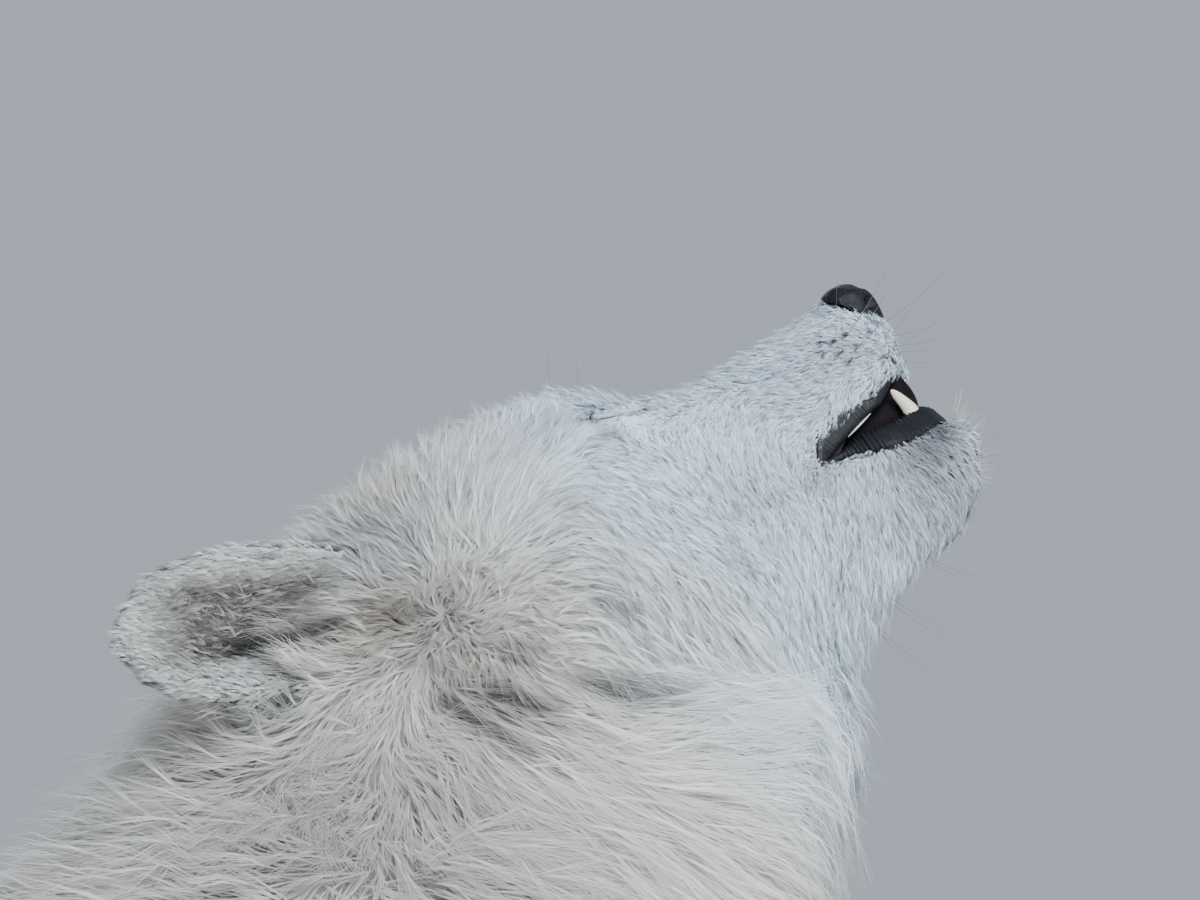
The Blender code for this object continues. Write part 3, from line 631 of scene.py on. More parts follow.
def fleshMesh(names):
    whole = bmesh.new()
    for name in names:
        part = bmesh.new()
        part.from_mesh(cadNodes[name].data)
        bmesh.ops.remove_doubles(part, verts=part.verts, dist=0.01 * mm)
        part.normal_update()
        for vert in part.verts:
            vert.co += vert.normal * skinShape["swell"]
        data = bpy.data.meshes.new("part")
        part.to_mesh(data)
        part.free()
        whole.from_mesh(data)
        bpy.data.meshes.remove(data)
    return whole


def keepLargest(mesh):
    # drops the shells of the hollows that the solids leave inside the body
    left = set(mesh.verts)
    groups = []
    while left:
        seed = left.pop()
        group, front = [seed], [seed]
        while front:
            vert = front.pop()
            for link in vert.link_edges:
                other = link.other_vert(vert)
                if other in left:
                    left.remove(other)
                    group.append(other)
                    front.append(other)
        groups.append(group)
    groups.sort(key=len)
    small = [vert for group in groups[:-1] for vert in group]
    bmesh.ops.delete(mesh, geom=small, context="VERTS")


def refine(mesh, wanted):
    # splits each face that is wanted into four
    centres = np.array([face.calc_center_median() for face in mesh.faces])
    chosen = wanted(centres)
    edges = {edge for face, take in zip(mesh.faces, chosen) if take for edge in face.edges}
    bmesh.ops.subdivide_edges(mesh, edges=list(edges), cuts=1, use_grid_fill=True)


def readArray(items, field, columns, kind=np.float32):
    found = np.empty(len(items) * columns, kind)
    items.foreach_get(field, found)
    return found.reshape(-1, columns)


def verts(data):
    return readArray(data.vertices, "co", 3).astype(float)


def normals(data):
    return readArray(data.vertex_normals, "vector", 3).astype(float)


def relaxed(values, pairs, rounds, share):
    # each value drawn towards the mean of its neighbours
    count = np.bincount(pairs.ravel(), minlength=len(values)).astype(float)
    shaped = values.reshape(len(values), -1).copy()
    for _ in range(rounds):
        total = np.zeros_like(shaped)
        for column in range(shaped.shape[1]):
            total[:, column] = np.bincount(pairs[:, 0], shaped[pairs[:, 1], column], len(values))
            total[:, column] += np.bincount(pairs[:, 1], shaped[pairs[:, 0], column], len(values))
        shaped += (total / count[:, None] - shaped) * share
    return shaped.reshape(values.shape)


def setVerts(data, points):
    data.vertices.foreach_set("co", points.astype(np.float32).ravel())
    data.update()


def cadSurface():
    points, faces, owners = [], [], []
    for name, node in cadNodes.items():
        base = len(points)
        points += [vert.co.copy() for vert in node.data.vertices]
        for face in node.data.polygons:
            faces.append([base + k for k in face.vertices])
            owners.append(name)
    return BVHTree.FromPolygons(points, faces), owners


def lipAt(name, local, column):
    # the width or the height of a lip's line beside each place
    line = np.array(lipLine[name])
    return np.interp(local[:, 0], line[:, 0], line[:, column])


def nearLips(local, wider=0.0, under=0.0):
    # 1 between the fur's edges above and below the mouth, seen from the side, else 0
    top = lipAt("upper", local, 2) - lipLine["overhang"] + wider
    bottom = lipAt("lower", local, 2) - under
    inside = np.minimum(top - local[:, 2], local[:, 2] - bottom)
    return rise(inside, 0.0, 0.25) * rise(local[:, 0] + wider, -6.5, -6.1) * (local[:, 0] < 0.5)


def toesOf(paw):
    # each toe's middle and its step from the paw's own middle
    low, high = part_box(paw)
    front, middle = high.x - toes["clawReach"], (low.y + high.y) / 2
    return [(Vector((front - back, middle + step * toes["pitch"], toes["height"])), step)
            for step, back in ((-1.5, toes["outerBack"]), (-0.5, 0), (0.5, 0), (1.5, toes["outerBack"]))]


def shortToes(points):
    # the skin ends at the toes, so that the claws stand out of it as pieces of their own
    for paw in [name for name in cadNodes if name.endswith("_paw")]:
        centres = np.array([toe for toe, _ in toesOf(paw)])
        low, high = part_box(paw)
        own = (points[:, 0] > centres[:, 0].min()) & (points[:, 0] < high.x + cm) & (points[:, 2] < high.z)
        own &= (points[:, 1] > low.y - cm) & (points[:, 1] < high.y + cm)
        place = points[own]
        nearest = np.abs(place[:, None, 1] - centres[None, :, 1]).argmin(axis=1)
        offset = place - centres[nearest]
        level = np.linalg.norm(offset / toes["radii"], axis=1)
        out = (level > 1) & (offset[:, 0] > 0)
        place[out] = (centres[nearest] + offset / np.maximum(level, 1)[:, None])[out]
        points[own] = place
    return points


def sculptFace(points, outward):
    # lids, lid folds and the hollow behind the lips, on both sides; lifts are in millimetres
    near = foldedHead(points)
    gap, along = lineDistance(near, eyeSlit)
    ends = np.sin(np.pi * np.clip(along, 0.02, 0.98)) ** 0.5
    lift = 1.6 * bell(gapTo(near, eyeBall), 1.15)
    lift -= 2.4 * bell(gap, 0.10) * (0.4 + 0.6 * ends)
    lift += 0.7 * bell(gap - 0.24, 0.12) * ends
    lift -= 1.0 * bell(gap - 0.75, 0.13) * (along > 0.05) * (along < 0.95)
    lift += 2.4 * bell(gapTo(near, noseEdge), 0.6)
    points = points + outward * (lift * mm)[:, None]
    hollow = nearLips(near) * rise(near[:, 1], 0.4, 1.2) * (1 - rise(near[:, 0], -2.1, -1.5))
    points[:, 1] -= np.sign(points[:, 1]) * hollow * skinShape["lipHollow"]
    return points


def nearEars(points):
    near = np.zeros(len(points), bool)
    for side in ("left", "right"):
        low, high = (np.array(corner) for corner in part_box(side + "_ear"))
        near |= np.all((points > low - 5 * mm) & (points < high + 5 * mm), axis=1)
    return near


def aroundFeatures(points):
    # near the shut eyes and the mouth, where the skin needs finer faces
    local = foldedHead(points)
    mouth = (local[:, 0] > -7.2) & (local[:, 2] < -2.4) & (local[:, 2] > -7.0)
    return (gapTo(local, eyeBall) < 2.0) | mouth


def refineSkin(obj):
    mesh = bmesh.new()
    mesh.from_mesh(obj.data)
    keepLargest(mesh)
    refine(mesh, lambda centres: toHead(centres)[:, 0] > -15)
    refine(mesh, lambda centres: (toHead(centres)[:, 0] < -24) & nearEars(centres))
    refine(mesh, aroundFeatures)
    bmesh.ops.triangulate(mesh, faces=[face for face in mesh.faces if len(face.verts) > 4])
    mesh.to_mesh(obj.data)
    mesh.free()


def coatDepth(points, outward, depth, pairs, faces):
    # the guides' depth, held back where the body is thin and round the eyes
    thickness = np.full(len(points), 1.0)
    own = BVHTree.FromPolygons([Vector(p) for p in points], faces)
    for k in range(len(points)):
        start = Vector(points[k] - outward[k] * 0.5 * mm)
        hit = own.ray_cast(start, Vector(-outward[k]), skinShape["probe"])
        if hit[3] is not None:
            thickness[k] = hit[3]
    depth = np.minimum(depth, relaxed(thickness, pairs, 4, 0.5) * skinShape["depthShare"])
    slit, _ = lineDistance(foldedHead(points), eyeSlit)
    return relaxed(depth, pairs, 12, 0.5) * (0.12 + 0.88 * rise(slit, 0.3, 1.8))


def buildSkin():
    obj = pieceFrom(fleshMesh([name for name in cadNodes if name != "nose"]), "skin")
    voxelMesh(obj, skinShape["voxel"])
    refineSkin(obj)
    data = obj.data
    points = verts(data)
    tree, owners = cadSurface()
    label = []
    for k, point in enumerate(points):
        points[k], _, face, _ = tree.find_nearest(point)
        label.append(owners[face])
    label = np.array(label)
    pairs = readArray(data.edges, "vertices", 2, np.int32)
    points = relaxed(shortToes(points), pairs, skinShape["relax"], 0.5)
    setVerts(data, points)
    outward = normals(data)
    direction, size = guided(points)
    size[np.char.endswith(label, "_ear"), 1] = earShape["depth"]
    faces = [list(face.vertices) for face in data.polygons]
    depth = coatDepth(points, outward, size[:, 1].copy(), pairs, faces)
    points = sculptFace(relaxed(points - outward * depth[:, None], pairs, 2, 0.3), outward)
    points[:, 2] = np.maximum(points[:, 2], skinShape["lowest"])
    setVerts(data, points)
    smoothShaded(obj)
    return obj, {"points": points, "normals": normals(data), "label": label, "lie": direction,
                 "length": size[:, 0], "depth": depth, "pairs": pairs}


earShape = {"base": (-24.6, 7.6, 2.2), "tip": (-32.2, 11.0, 7.8), "facing": (0.35, 1.0, -0.25),
            "halfWidth": 3.3, "depth": 2.6 * mm, "length": 10 * mm}


def earPlaces(points, normal):
    # how far along and across the ear each point is, and whether it is on the hollow's side
    turned = toHead(points + normal * cm) - toHead(points)
    turned[:, 1] *= np.where(toHead(points)[:, 1] < 0, -1.0, 1.0)
    base, tip = np.array(earShape["base"]), np.array(earShape["tip"])
    reach = np.linalg.norm(tip - base)
    along = (tip - base) / reach
    crossed = unit(np.cross(along, unit(np.array(earShape["facing"]))))
    offset = foldedHead(points) - base
    wide = offset @ crossed / earShape["halfWidth"]
    return offset @ along / reach, wide, unit(turned) @ np.cross(crossed, along)


def earColour(points, normal, colour):
    along, wide, facing = earPlaces(points, normal)
    hollow = rise(facing, 0.0, 0.5) * rise(along, -0.15, 0.0)
    fold = 0.16 + 0.45 * (along - 0.13)
    # the hollow is painted darker: its own dark skin, and painted shade in it
    inside = hollow * rise(wide, -0.70, -0.40) * (1 - rise(wide - fold, -0.02, 0.10))
    inside *= 1 - rise(along, 0.62, 0.88)
    # a dark line along the hollow's fold: painted shade in the fold
    slit = hollow * bell(wide - fold, 0.10) * rise(along, 0.0, 0.12) * (1 - rise(along, 0.50, 0.66))
    shaded = mixIn(colour, markings["earBack"], rise(along, 0.0, 0.25))
    return mixIn(shaded, markings["earHollowDarkAndShade"], inside) * (1 - 0.93 * slit[:, None]), inside


def mouthInside(local, turned):
    # bare skin between the fur's edges, and on the mouth's roof and floor behind them, all near black: the
    # lips' own dark skin, and painted shade inside the mouth
    bare = nearLips(local)
    for name, facing in (("upper", -1), ("lower", 1)):
        width, edge, level = lipAt(name, local, 1), lipAt(name, local, 2), turned[:, 2] * facing
        inner = rise(level, 0.75, 0.9) * rise(width - 0.25 - local[:, 1], 0, 0.2)
        inner = np.maximum(inner, rise(level, -0.6, -0.4) * rise(width - 0.35 - local[:, 1], 0, 0.2))
        inner *= rise(local[:, 0], -6.4, -6.0) * (np.abs(local[:, 2] - edge) < 1.5)
        bare = np.maximum(bare, inner)
    return bare


def markSkin(obj, skin):
    colour = coatColour(skin["points"])
    ears = np.char.endswith(skin["label"], "_ear")
    colour[ears], _ = earColour(skin["points"][ears], skin["normals"][ears], colour[ears])
    local = foldedHead(skin["points"])
    bare = mouthInside(local, skin["normals"] @ headBack[:3, :3].T)
    # the folds' painted shade is laid on the skin too
    colour = mixIn(colour * skinShape["shade"], markings["mouth"], bare) * inCreases(skin["points"])
    slit, _ = lineDistance(local, eyeSlit)
    rim = np.maximum(bell(slit, 0.13), 0.98 * nearLips(local, 0.7, 0.3))
    addColour(obj.data, mixIn(colour, markings["mouth"], rim))
    return bare


def addColour(data, colour):
    layer = data.color_attributes.new("markings", "FLOAT_COLOR", "POINT")
    rgba = np.ones((len(colour), 4), np.float32)
    rgba[:, :3] = np.clip(colour, 0, 1)
    layer.data.foreach_set("color", rgba.ravel())


setStage()
skinPiece, skin = buildSkin()
skin["bare"] = markSkin(skinPiece, skin)
skinFur = furMaterial("wolfSkin", 0.5)
skinFur.bump(skinFur.noise(700.0) + skinFur.noise(180.0), 0.6 * mm, 0.6)
skinPiece.data.materials.append(skinFur.data)
declare(skinPiece, "body_fur", *[name for name in cadNodes if name != "nose" and not name.endswith("_eye")])
print("skin:", len(skinPiece.data.vertices), "points")


coat = {
    "seed": 5,
    "lengths": (0.75, 1.25), "heights": (0.8, 1.2), "locks": (0.8, 1.2), "widths": (0.7, 1.3),
    "tallest": 1.15, "tallestMore": 1.5 * mm, "flyHeight": 1.7,     # against the coat's depth
    "sink": 0.6 * mm,             # how deep a tuft's root goes into the skin
    "proud": 7 * mm,              # how far the coat may pass the solids' box
    "strayLimit": 3 * mm, "lookReach": 22 * mm,
    "fingers": (-0.66, 0, 0.66), "fingerLengths": (0.72, 1.17), "fingerStray": 0.5, "fingerLift": 0.06,
    "fleck": 0.08, "rootColour": 0.4, "creaseLight": 0.35,
    "patch": 0.003,               # a tuft's size on its UV map
}


class SurfaceLook:
    # finds the skin's nearest point through a grid of cells, all at once for many places

    def __init__(self, points, cell, margin=0.08, rounds=7):
        self.cell = cell
        self.low = points.min(axis=0) - margin
        self.shape = tuple(np.ceil((points.max(axis=0) + margin - self.low) / cell).astype(int) + 1)
        self.grid = np.full(self.shape, -1, np.int32)
        index = ((points - self.low) / cell).astype(int)
        self.grid[index[:, 0], index[:, 1], index[:, 2]] = np.arange(len(points))
        for _ in range(rounds):
            for axis in range(3):
                for step in (-1, 1):
                    shifted = np.roll(self.grid, step, axis)
                    self.grid = np.where(self.grid < 0, shifted, self.grid)

    def find(self, places):
        index = ((places - self.low) / self.cell).astype(int)
        index = np.clip(index, 0, np.array(self.shape) - 1)
        return self.grid[index[:, 0], index[:, 1], index[:, 2]]


look = SurfaceLook(skin["points"], 5 * mm)
coatLow = np.maximum(np.array(cadBox[0]) - coat["proud"], (-9, -9, 0.5 * mm))
coatHigh = np.array(cadBox[1]) + coat["proud"]
skin["lie"] = unit(across(skin["lie"], skin["normals"]))
earPoints = np.char.endswith(skin["label"], "_ear")
earAlong = Vector(earShape["tip"]) - Vector(earShape["base"])
for side in (-1, 1):
    along = headFrame.to_3x3() @ Vector((earAlong.x, side * earAlong.y, earAlong.z)).normalized()
    own = earPoints & (np.sign(skin["points"][:, 1]) == side)
    skin["lie"][own] = unit(across(np.tile(along, (own.sum(), 1)), skin["normals"][own]))
skin["lie"] = unit(across(relaxed(skin["lie"], skin["pairs"], 6, 0.5), skin["normals"]))
slitGap, _ = lineDistance(foldedHead(skin["points"]), eyeSlit)
skin["length"][earPoints] = earShape["length"]
skin["length"] *= 0.30 + 0.70 * rise(slitGap, 0.1, 1.8)
furry = (1 - skin["bare"]) * (skin["points"][:, 2] > 7 * mm) * (slitGap > 0.17)

skinPiece.data.calc_loop_triangles()
triangles = readArray(skinPiece.data.loop_triangles, "vertices", 3, np.int32)
cornerA, cornerB, cornerC = (skin["points"][triangles[:, k]] for k in range(3))
triangleArea = np.linalg.norm(np.cross(cornerB - cornerA, cornerC - cornerA), axis=1) / 2
triangleLabel = skin["label"][triangles[:, 0]]
triangleMiddle = skin["points"][triangles].mean(axis=1)


def scatter(chosen, count, seed):
    # roots spread evenly over the chosen triangles, with what the skin says at each
    dice = np.random.default_rng(seed)
    weight = triangleArea * chosen * furry[triangles].min(axis=1)
    steps = np.cumsum(weight)
    spots = (np.arange(count) + dice.random(count)) / count * steps[-1]
    picked = np.minimum(np.searchsorted(steps, spots), len(steps) - 1)
    u, v = dice.random(count), dice.random(count)
    flip = u + v > 1
    u[flip], v[flip] = 1 - u[flip], 1 - v[flip]
    shares = np.stack([1 - u - v, u, v], axis=1)
    corner = triangles[picked]

    def at(values):
        return np.einsum("nk,nk...->n...", shares, values[corner])

    return {"points": at(skin["points"]), "normals": unit(at(skin["normals"])), "lie": unit(at(skin["lie"])),
            "length": at(skin["length"]), "depth": at(skin["depth"]), "dice": dice}


coatTurns = {
    # the wool behind and below the ear, and the whorl in front of it: the middle and the reach,
    # and how far the tufts turn, shorten and lie down there
    "wool": {"middle": (-31.2, 11.2, -3.3), "stretch": (1, 0.6, 1), "reach": 5.0, "turn": 3.0, "seed": 78,
             "shorten": 0.58, "lower": 0.0},
    "whorl": {"middle": earWhorl, "stretch": 1, "reach": 3.2, "turn": 2.4, "seed": 77,
              "shorten": 0.55, "lower": 0.35},
}


def strands(roots, style):
    # Each tuft walks over the skin along the coat's lie, lifting off it towards its tip.
    start, normal, direction = roots["points"], roots["normals"], roots["lie"]
    dice, count = roots["dice"], len(start)
    middle, lock = locksOf(start, style["lock"], style["seed"])
    length = roots["length"] * between(dice.random(count), *coat["lengths"])
    length = length * between(lock[:, 0], *coat["locks"])
    height = roots["depth"] * between(dice.random(count), *coat["heights"])
    height = height * (1 + style["uneven"] * (lock[:, 1] - 0.5))
    height = np.minimum(height, coat["tallest"] * roots["depth"] + coat["tallestMore"])
    height *= np.where(dice.random(count) < style["flyShare"], coat["flyHeight"], 1.0)
    turn = softNoise(start, style["wave"], style["seed"] + 9)
    turn = turn + 0.6 * softNoise(start, style["wave"] / 3, style["seed"] + 19) + lock[:, 0] - 0.5
    turn = turn * style["ruffle"] + style["stray"] * dice.standard_normal(count)
    unruly, shorter = 0, 1
    for spot in coatTurns.values():
        share = bell(gapTo(foldedHead(start), spot["middle"], spot["stretch"]), spot["reach"])
        turn += spot["turn"] * share * softNoise(start, 9 * mm, spot["seed"])
        unruly, shorter = unruly + share, shorter - spot["shorten"] * share
        height *= 1 - spot["lower"] * share
    turn += 0.45 * unruly * dice.standard_normal(count)
    length *= shorter
    if style["hollow"]:
        inside = earColour(start, normal, np.ones((count, 3)))[1]
        turn *= 0.30 + 0.9 * inside
        length *= 0.72 + 0.5 * inside
    cosine, sine = np.cos(turn)[:, None], np.sin(turn)[:, None]
    direction = direction * cosine + np.cross(normal, direction) * sine
    pull = across(middle - start, normal)
    pull = np.sum(pull * np.cross(normal, direction), axis=1) * style["clump"]
    roll = np.clip(style["roll"] * dice.standard_normal(count), -1.1, 1.1)
    place, last = start, 0.0
    lines, frames = [], []
    for share in style["stations"]:
        place = place + direction * (length * (share - last))[:, None]
        nearest = look.find(place)
        base, outward = skin["points"][nearest], skin["normals"][nearest]
        same = (np.sum(outward * normal, axis=1) > 0.2) & (nearest >= 0) & (share > 0)
        same &= np.linalg.norm(base - place, axis=1) < coat["lookReach"]
        settle = np.sum((place - base) * outward, axis=1) * same
        place = place - outward * settle[:, None]
        normal = unit(mixIn(normal, outward, 0.6 * same))
        flow = skin["lie"][nearest]
        flow = flow * cosine + np.cross(outward, flow) * sine
        direction = unit(across(mixIn(direction, flow, 0.5 * same), normal))
        sideways = np.cross(normal, direction)
        lift = height * (1 - (1 - share) ** 1.9) - coat["sink"] * (share == 0)
        line = place + normal * lift[:, None] + sideways * (pull * share**1.4)[:, None]
        away = line - base
        reach = np.linalg.norm(away, axis=1)
        held = np.minimum(1, (coat["strayLimit"] + 1.1 * height) / np.maximum(reach, 1e-9))
        held[(nearest < 0) | (share == 0)] = 1
        lines.append(np.where((nearest < 0)[:, None], line, base + away * held[:, None]))
        frames.append((normal, sideways * np.cos(roll)[:, None] + normal * np.sin(roll)[:, None]))
        last = share
    return lines, frames, lock


def tuftPattern(levels):
    # A tuft is a ribbon that parts into three fine tips. These are its triangles, by row.
    faces = []
    for k in range(levels - 2):
        left, right = 2 * k, 2 * k + 1
        nextLeft, nextRight = (2 * k + 2, 2 * k + 3) if k < levels - 3 else (2 * k + 2, 2 * k + 5)
        faces += [(left, nextRight, right), (left, nextLeft, nextRight)]
    split = 2 * (levels - 2)
    for finger in range(3):
        faces.append((split + finger, split + 4 + finger, split + finger + 1))
    return np.array(faces), split + 7


def faced(lines, frames, k):
    # part of the way from the skin's own facing to the ribbon's
    normal, sideways = frames[k]
    start = min(k, len(lines) - 2)
    return unit(normal + 0.9 * unit(np.cross(lines[start + 1] - lines[start], sideways))), sideways


def tuftRows(lines, frames, style, dice):
    # where each row of the pattern lies on each tuft: place, normal, share of its length, side
    levels, count = len(lines), len(lines[0])
    width = style["width"] * between(dice.random(count), *coat["widths"]) / 2
    rows = []
    for k in range(levels - 1):
        normal, sideways = faced(lines, frames, k)
        marks = (-1, 1) if k < levels - 2 else (-1, -0.33, 0.33, 1)
        for mark in marks:
            rows.append((lines[k] + sideways * (mark * width)[:, None], normal, style["stations"][k], mark))
    normal, sideways = faced(lines, frames, levels - 1)
    reach = lines[-1] - lines[-2]
    for mark in coat["fingers"]:
        longer = between(dice.random(count), *coat["fingerLengths"])
        aside = mark * style["fan"] + coat["fingerStray"] * dice.standard_normal(count)
        lift = coat["fingerLift"] * dice.standard_normal(count) * np.linalg.norm(reach, axis=1)
        tip = lines[-2] + reach * longer[:, None] + sideways * (aside * width)[:, None]
        tip = tip + normal * lift[:, None]
        rows.append((tip, normal, 1.0, mark))
    return rows


def coatMesh(name, points, corners):
    data = bpy.data.meshes.new(name)
    data.vertices.add(len(points))
    data.vertices.foreach_set("co", points.astype(np.float32).ravel())
    data.loops.add(len(corners))
    data.loops.foreach_set("vertex_index", corners.astype(np.int32))
    data.polygons.add(len(corners) // 3)
    data.polygons.foreach_set("loop_start", np.arange(0, len(corners), 3, dtype=np.int32))
    data.update(calc_edges=True)
    data.polygons.foreach_set("use_smooth", np.ones(len(corners) // 3, bool))
    return data


def plainShade(points, normal, pick):
    return coatColour(points)


def coatPiece(name, slotName, chosen, count, style, unwrap, shadeOf=plainShade):
    roots = scatter(chosen, count, coat["seed"] + style["seed"])
    lines, frames, lock = strands(roots, style)
    dice = roots["dice"]
    order, height = tuftPattern(len(lines))
    pick = dice.random((count, 1))
    vary = 1 + style["contrast"] * (lock[:, 1] - 0.5) + coat["fleck"] * dice.standard_normal(count)
    vary[dice.random(count) < style["darkShare"]] *= style["darkShade"]
    atRoot = shadeOf(roots["points"], roots["normals"], pick)
    lean = unit(dice.standard_normal((count, 3))) * style["sparkle"]
    points, facing, colour, patch = (np.zeros((count, height, size)) for size in (3, 3, 3, 2))
    for row, (place, normal, share, mark) in enumerate(tuftRows(lines, frames, style, dice)):
        place = np.clip(place, coatLow, coatHigh)
        points[:, row] = place
        facing[:, row] = unit(normal + lean)
        tint = vary * (1 + coat["fleck"] * dice.standard_normal(count) * (share == 1))
        tint *= style["rootShade"] + (1 - style["rootShade"]) * share**0.7
        here = between(coat["rootColour"], shadeOf(place, normal, pick), atRoot)
        # the folds' painted shade: dark where this row lies in a fold, and in part where the way from its
        # root does
        halfway = between(inCreases((place + roots["points"]) / 2), coat["creaseLight"], 1)
        colour[:, row] = here * tint[:, None] * np.minimum(inCreases(place), halfway)
        patch[:, row] = (0.5 * mark, share - 0.5)
    corners = (order[None] + (np.arange(count) * height)[:, None, None]).ravel()
    data = coatMesh(name, points.reshape(-1, 3), corners)
    addColour(data, colour.reshape(-1, 3))
    spread = unwrap(roots["points"])[:, None, :] + patch * coat["patch"]
    layer = data.uv_layers.new(name="OFBake")
    layer.data.foreach_set("uv", spread.reshape(-1, 2)[corners].astype(np.float32).ravel())
    data.normals_split_custom_set_from_vertices(facing.reshape(-1, 3))
    data.materials.append(coatMaterial)
    declare(newObject(name, data), slotName)
    print(name + ":", len(corners) // 3, "triangles")


def roundUnwrap(start, end, up):
    # the skin of one region rolled flat: U round its own axis, V along it
    start, end, up = (np.array(v, float) for v in (start, end, up))
    reach = np.linalg.norm(end - start)
    along = (end - start) / reach
    up = unit(up - along * (up @ along))
    aside = np.cross(along, up)

    def flat(points):
        offset = points - start
        turn = np.arctan2(offset @ aside, offset @ up) / (2 * np.pi) + 0.5
        share = offset @ along / reach
        return np.clip(np.stack([0.01 + 0.98 * turn, 0.08 + 0.84 * share], axis=1), 0.003, 0.997)

    return flat


def earShade(points, normal, pick):
    # dark wool with pale wiry hairs in the hollow, plain fur on the rim and the back
    colour, inside = earColour(points, normal, coatColour(points))
    wool = np.where(pick < 0.62, markings["earDark"], markings["earPale"])
    return colour + (wool - colour) * (0.75 * inside * (colour.mean(axis=1) > 0.08))[:, None]


coatMaterial = furMaterial("wolfCoat", 0.12).data
shortStyle = {"stations": (0, 0.42, 1), "lock": 5 * mm, "width": 0.95 * mm, "fan": 1.7, "ruffle": 0.22,
              "wave": 16 * mm, "stray": 0.18, "clump": 0.5, "roll": 0.35, "uneven": 0.3, "contrast": 0.16,
              "darkShare": 0.12, "darkShade": 0.45, "rootShade": 1.0, "sparkle": 0.22, "flyShare": 0.08,
              "hollow": False}
muzzleStyle = {**shortStyle, "width": 0.62 * mm, "fan": 2.6, "lock": 4 * mm}
cheekStyle = {**shortStyle, "width": 0.80 * mm, "fan": 3.0}
maneStyle = {**shortStyle, "stations": (0, 0.18, 0.38, 1), "lock": 11 * mm, "width": 0.85 * mm, "fan": 8.0,
             "ruffle": 0.30, "wave": 45 * mm, "stray": 0.2, "clump": 0.35, "uneven": 0.4, "contrast": 0.12,
             "roll": 0.2, "darkShare": 0.02, "darkShade": 0.8, "rootShade": 0.9}
bodyStyle = {**maneStyle, "lock": 18 * mm, "width": 2.3 * mm, "fan": 4.0, "wave": 70 * mm}
legStyle = {**shortStyle, "lock": 9 * mm, "width": 1.9 * mm, "darkShare": 0.03, "rootShade": 0.9}
earStyle = {**shortStyle, "lock": 4 * mm, "width": 0.9 * mm, "wave": 9 * mm, "ruffle": 0.55, "stray": 0.30,
            "hollow": True}

headSkull = roundUnwrap(inHead(0, 0, -2), inHead(-24, 0, -2), (0, 0, 1))
neckTube = roundUnwrap(inNode("neck", 0.75, 0, 0.9), inNode("neck", 0.45, 0, 0.1), (-1, 0, 0))
trunkTube = roundUnwrap(inNode("chest", 1, 0, 0.5), inNode("rump", 0, 0, 0.5), (0, 0, 1))
tailTube = roundUnwrap(inNode("tail", 0.9, 0, 1), inNode("tail", 0.3, 0, 0), (1, 0, 0))


def labelled(*names):
    return np.isin(triangleLabel, names)


ahead = toHead(triangleMiddle)[:, 0] > -10
for side, sign in (("right", -1), ("left", 1)):
    here = triangleMiddle[:, 1] * sign > 0
    face = labelled("head", "jaw", side + "_eye") & here
    earTube = roundUnwrap(onSide(earShape["base"], sign), onSide(earShape["tip"], sign), (0, 0, 1))
    rows = [  # name, slot, where, count, style, seed, unwrapping
        ("muzzle", "face_fur", face & ahead, 20000, muzzleStyle, 10, headSkull),
        ("cheek", "face_fur", face & ~ahead, 34000, cheekStyle, 14, headSkull),
        ("neck", "body_fur", labelled("neck") & here, 26500, maneStyle, 20, neckTube),
        ("trunk", "body_fur", labelled("chest", "belly", "rump") & here, 16300, bodyStyle, 30, trunkTube),
        ("ear", "ear_fur", labelled(side + "_ear"), 9000, earStyle, 40, earTube),
    ]
    for name, slotName, where, count, style, seed, unwrap in rows:
        coatPiece(f"coat_{name}_{side}", slotName, where, count, {**style, "seed": seed + sign}, unwrap,
                  earShade if name == "ear" else plainShade)
    for end, seed in (("front", 54), ("hind", 50)):
        names = [f"{end}_{side}_{part}" for part in ("upper_leg", "lower_leg", "paw")]
        legTube = roundUnwrap(inNode(names[0], 0.5, 0, 1), inNode(names[2], 0.4, 0, 0), (1, 0, 0))
        coatPiece(f"coat_{end}_{side}_leg", "body_fur", labelled(*names), 10700,
                  {**legStyle, "seed": seed + sign}, legTube)
coatPiece("coat_tail", "body_fur", labelled("tail"), 8000, {**bodyStyle, "seed": 6}, tailTube)


nosePad = {"voxel": 0.8 * mm, "nostril": (-0.05, 0.78, -0.35), "slit": (-1.2, 1.5, -0.75)}


def buildNose():
    obj = pieceFrom(fleshMesh(["nose"]), "nose_pad")
    voxelMesh(obj, nosePad["voxel"])
    data = obj.data
    points = relaxed(verts(data), readArray(data.edges, "vertices", 2, np.int32), 6, 0.5)
    setVerts(data, points)
    outward = normals(data)
    local = foldedHead(points)
    hole = gapTo(local, nosePad["nostril"], (0.8, 1.0, 1.15))
    slit, along = lineDistance(local, [nosePad["nostril"], nosePad["slit"]])
    dent = 5.0 * np.exp(-((hole / 0.36) ** 4)) + 2.2 * bell(slit, 0.16) * (1 - 0.4 * along)
    dent += 1.1 * bell(local[:, 1], 0.07) * rise(local[:, 0], -1.0, -0.3)
    dent += 3.2 * bell(gapTo(local, noseEdge), 0.6)
    setVerts(data, points + outward * ((bell(hole - 0.62, 0.22) - dent + 0.4) * mm)[:, None])
    smoothShaded(obj)
    data.materials.append(noseMaterial())
    declare(obj, "nose_skin", "nose")


buildNose()
print("nose done")


lips = {"steps": 150, "segments": 12, "thickness": 2.0 * mm, "ribPitch": 1.9 * mm, "scallop": 0.5 * mm}


def heading(curve, k):
    # the way that a curve runs at one of its points
    return (curve[min(k + 1, len(curve) - 1)] - curve[max(k - 1, 0)]).normalized()


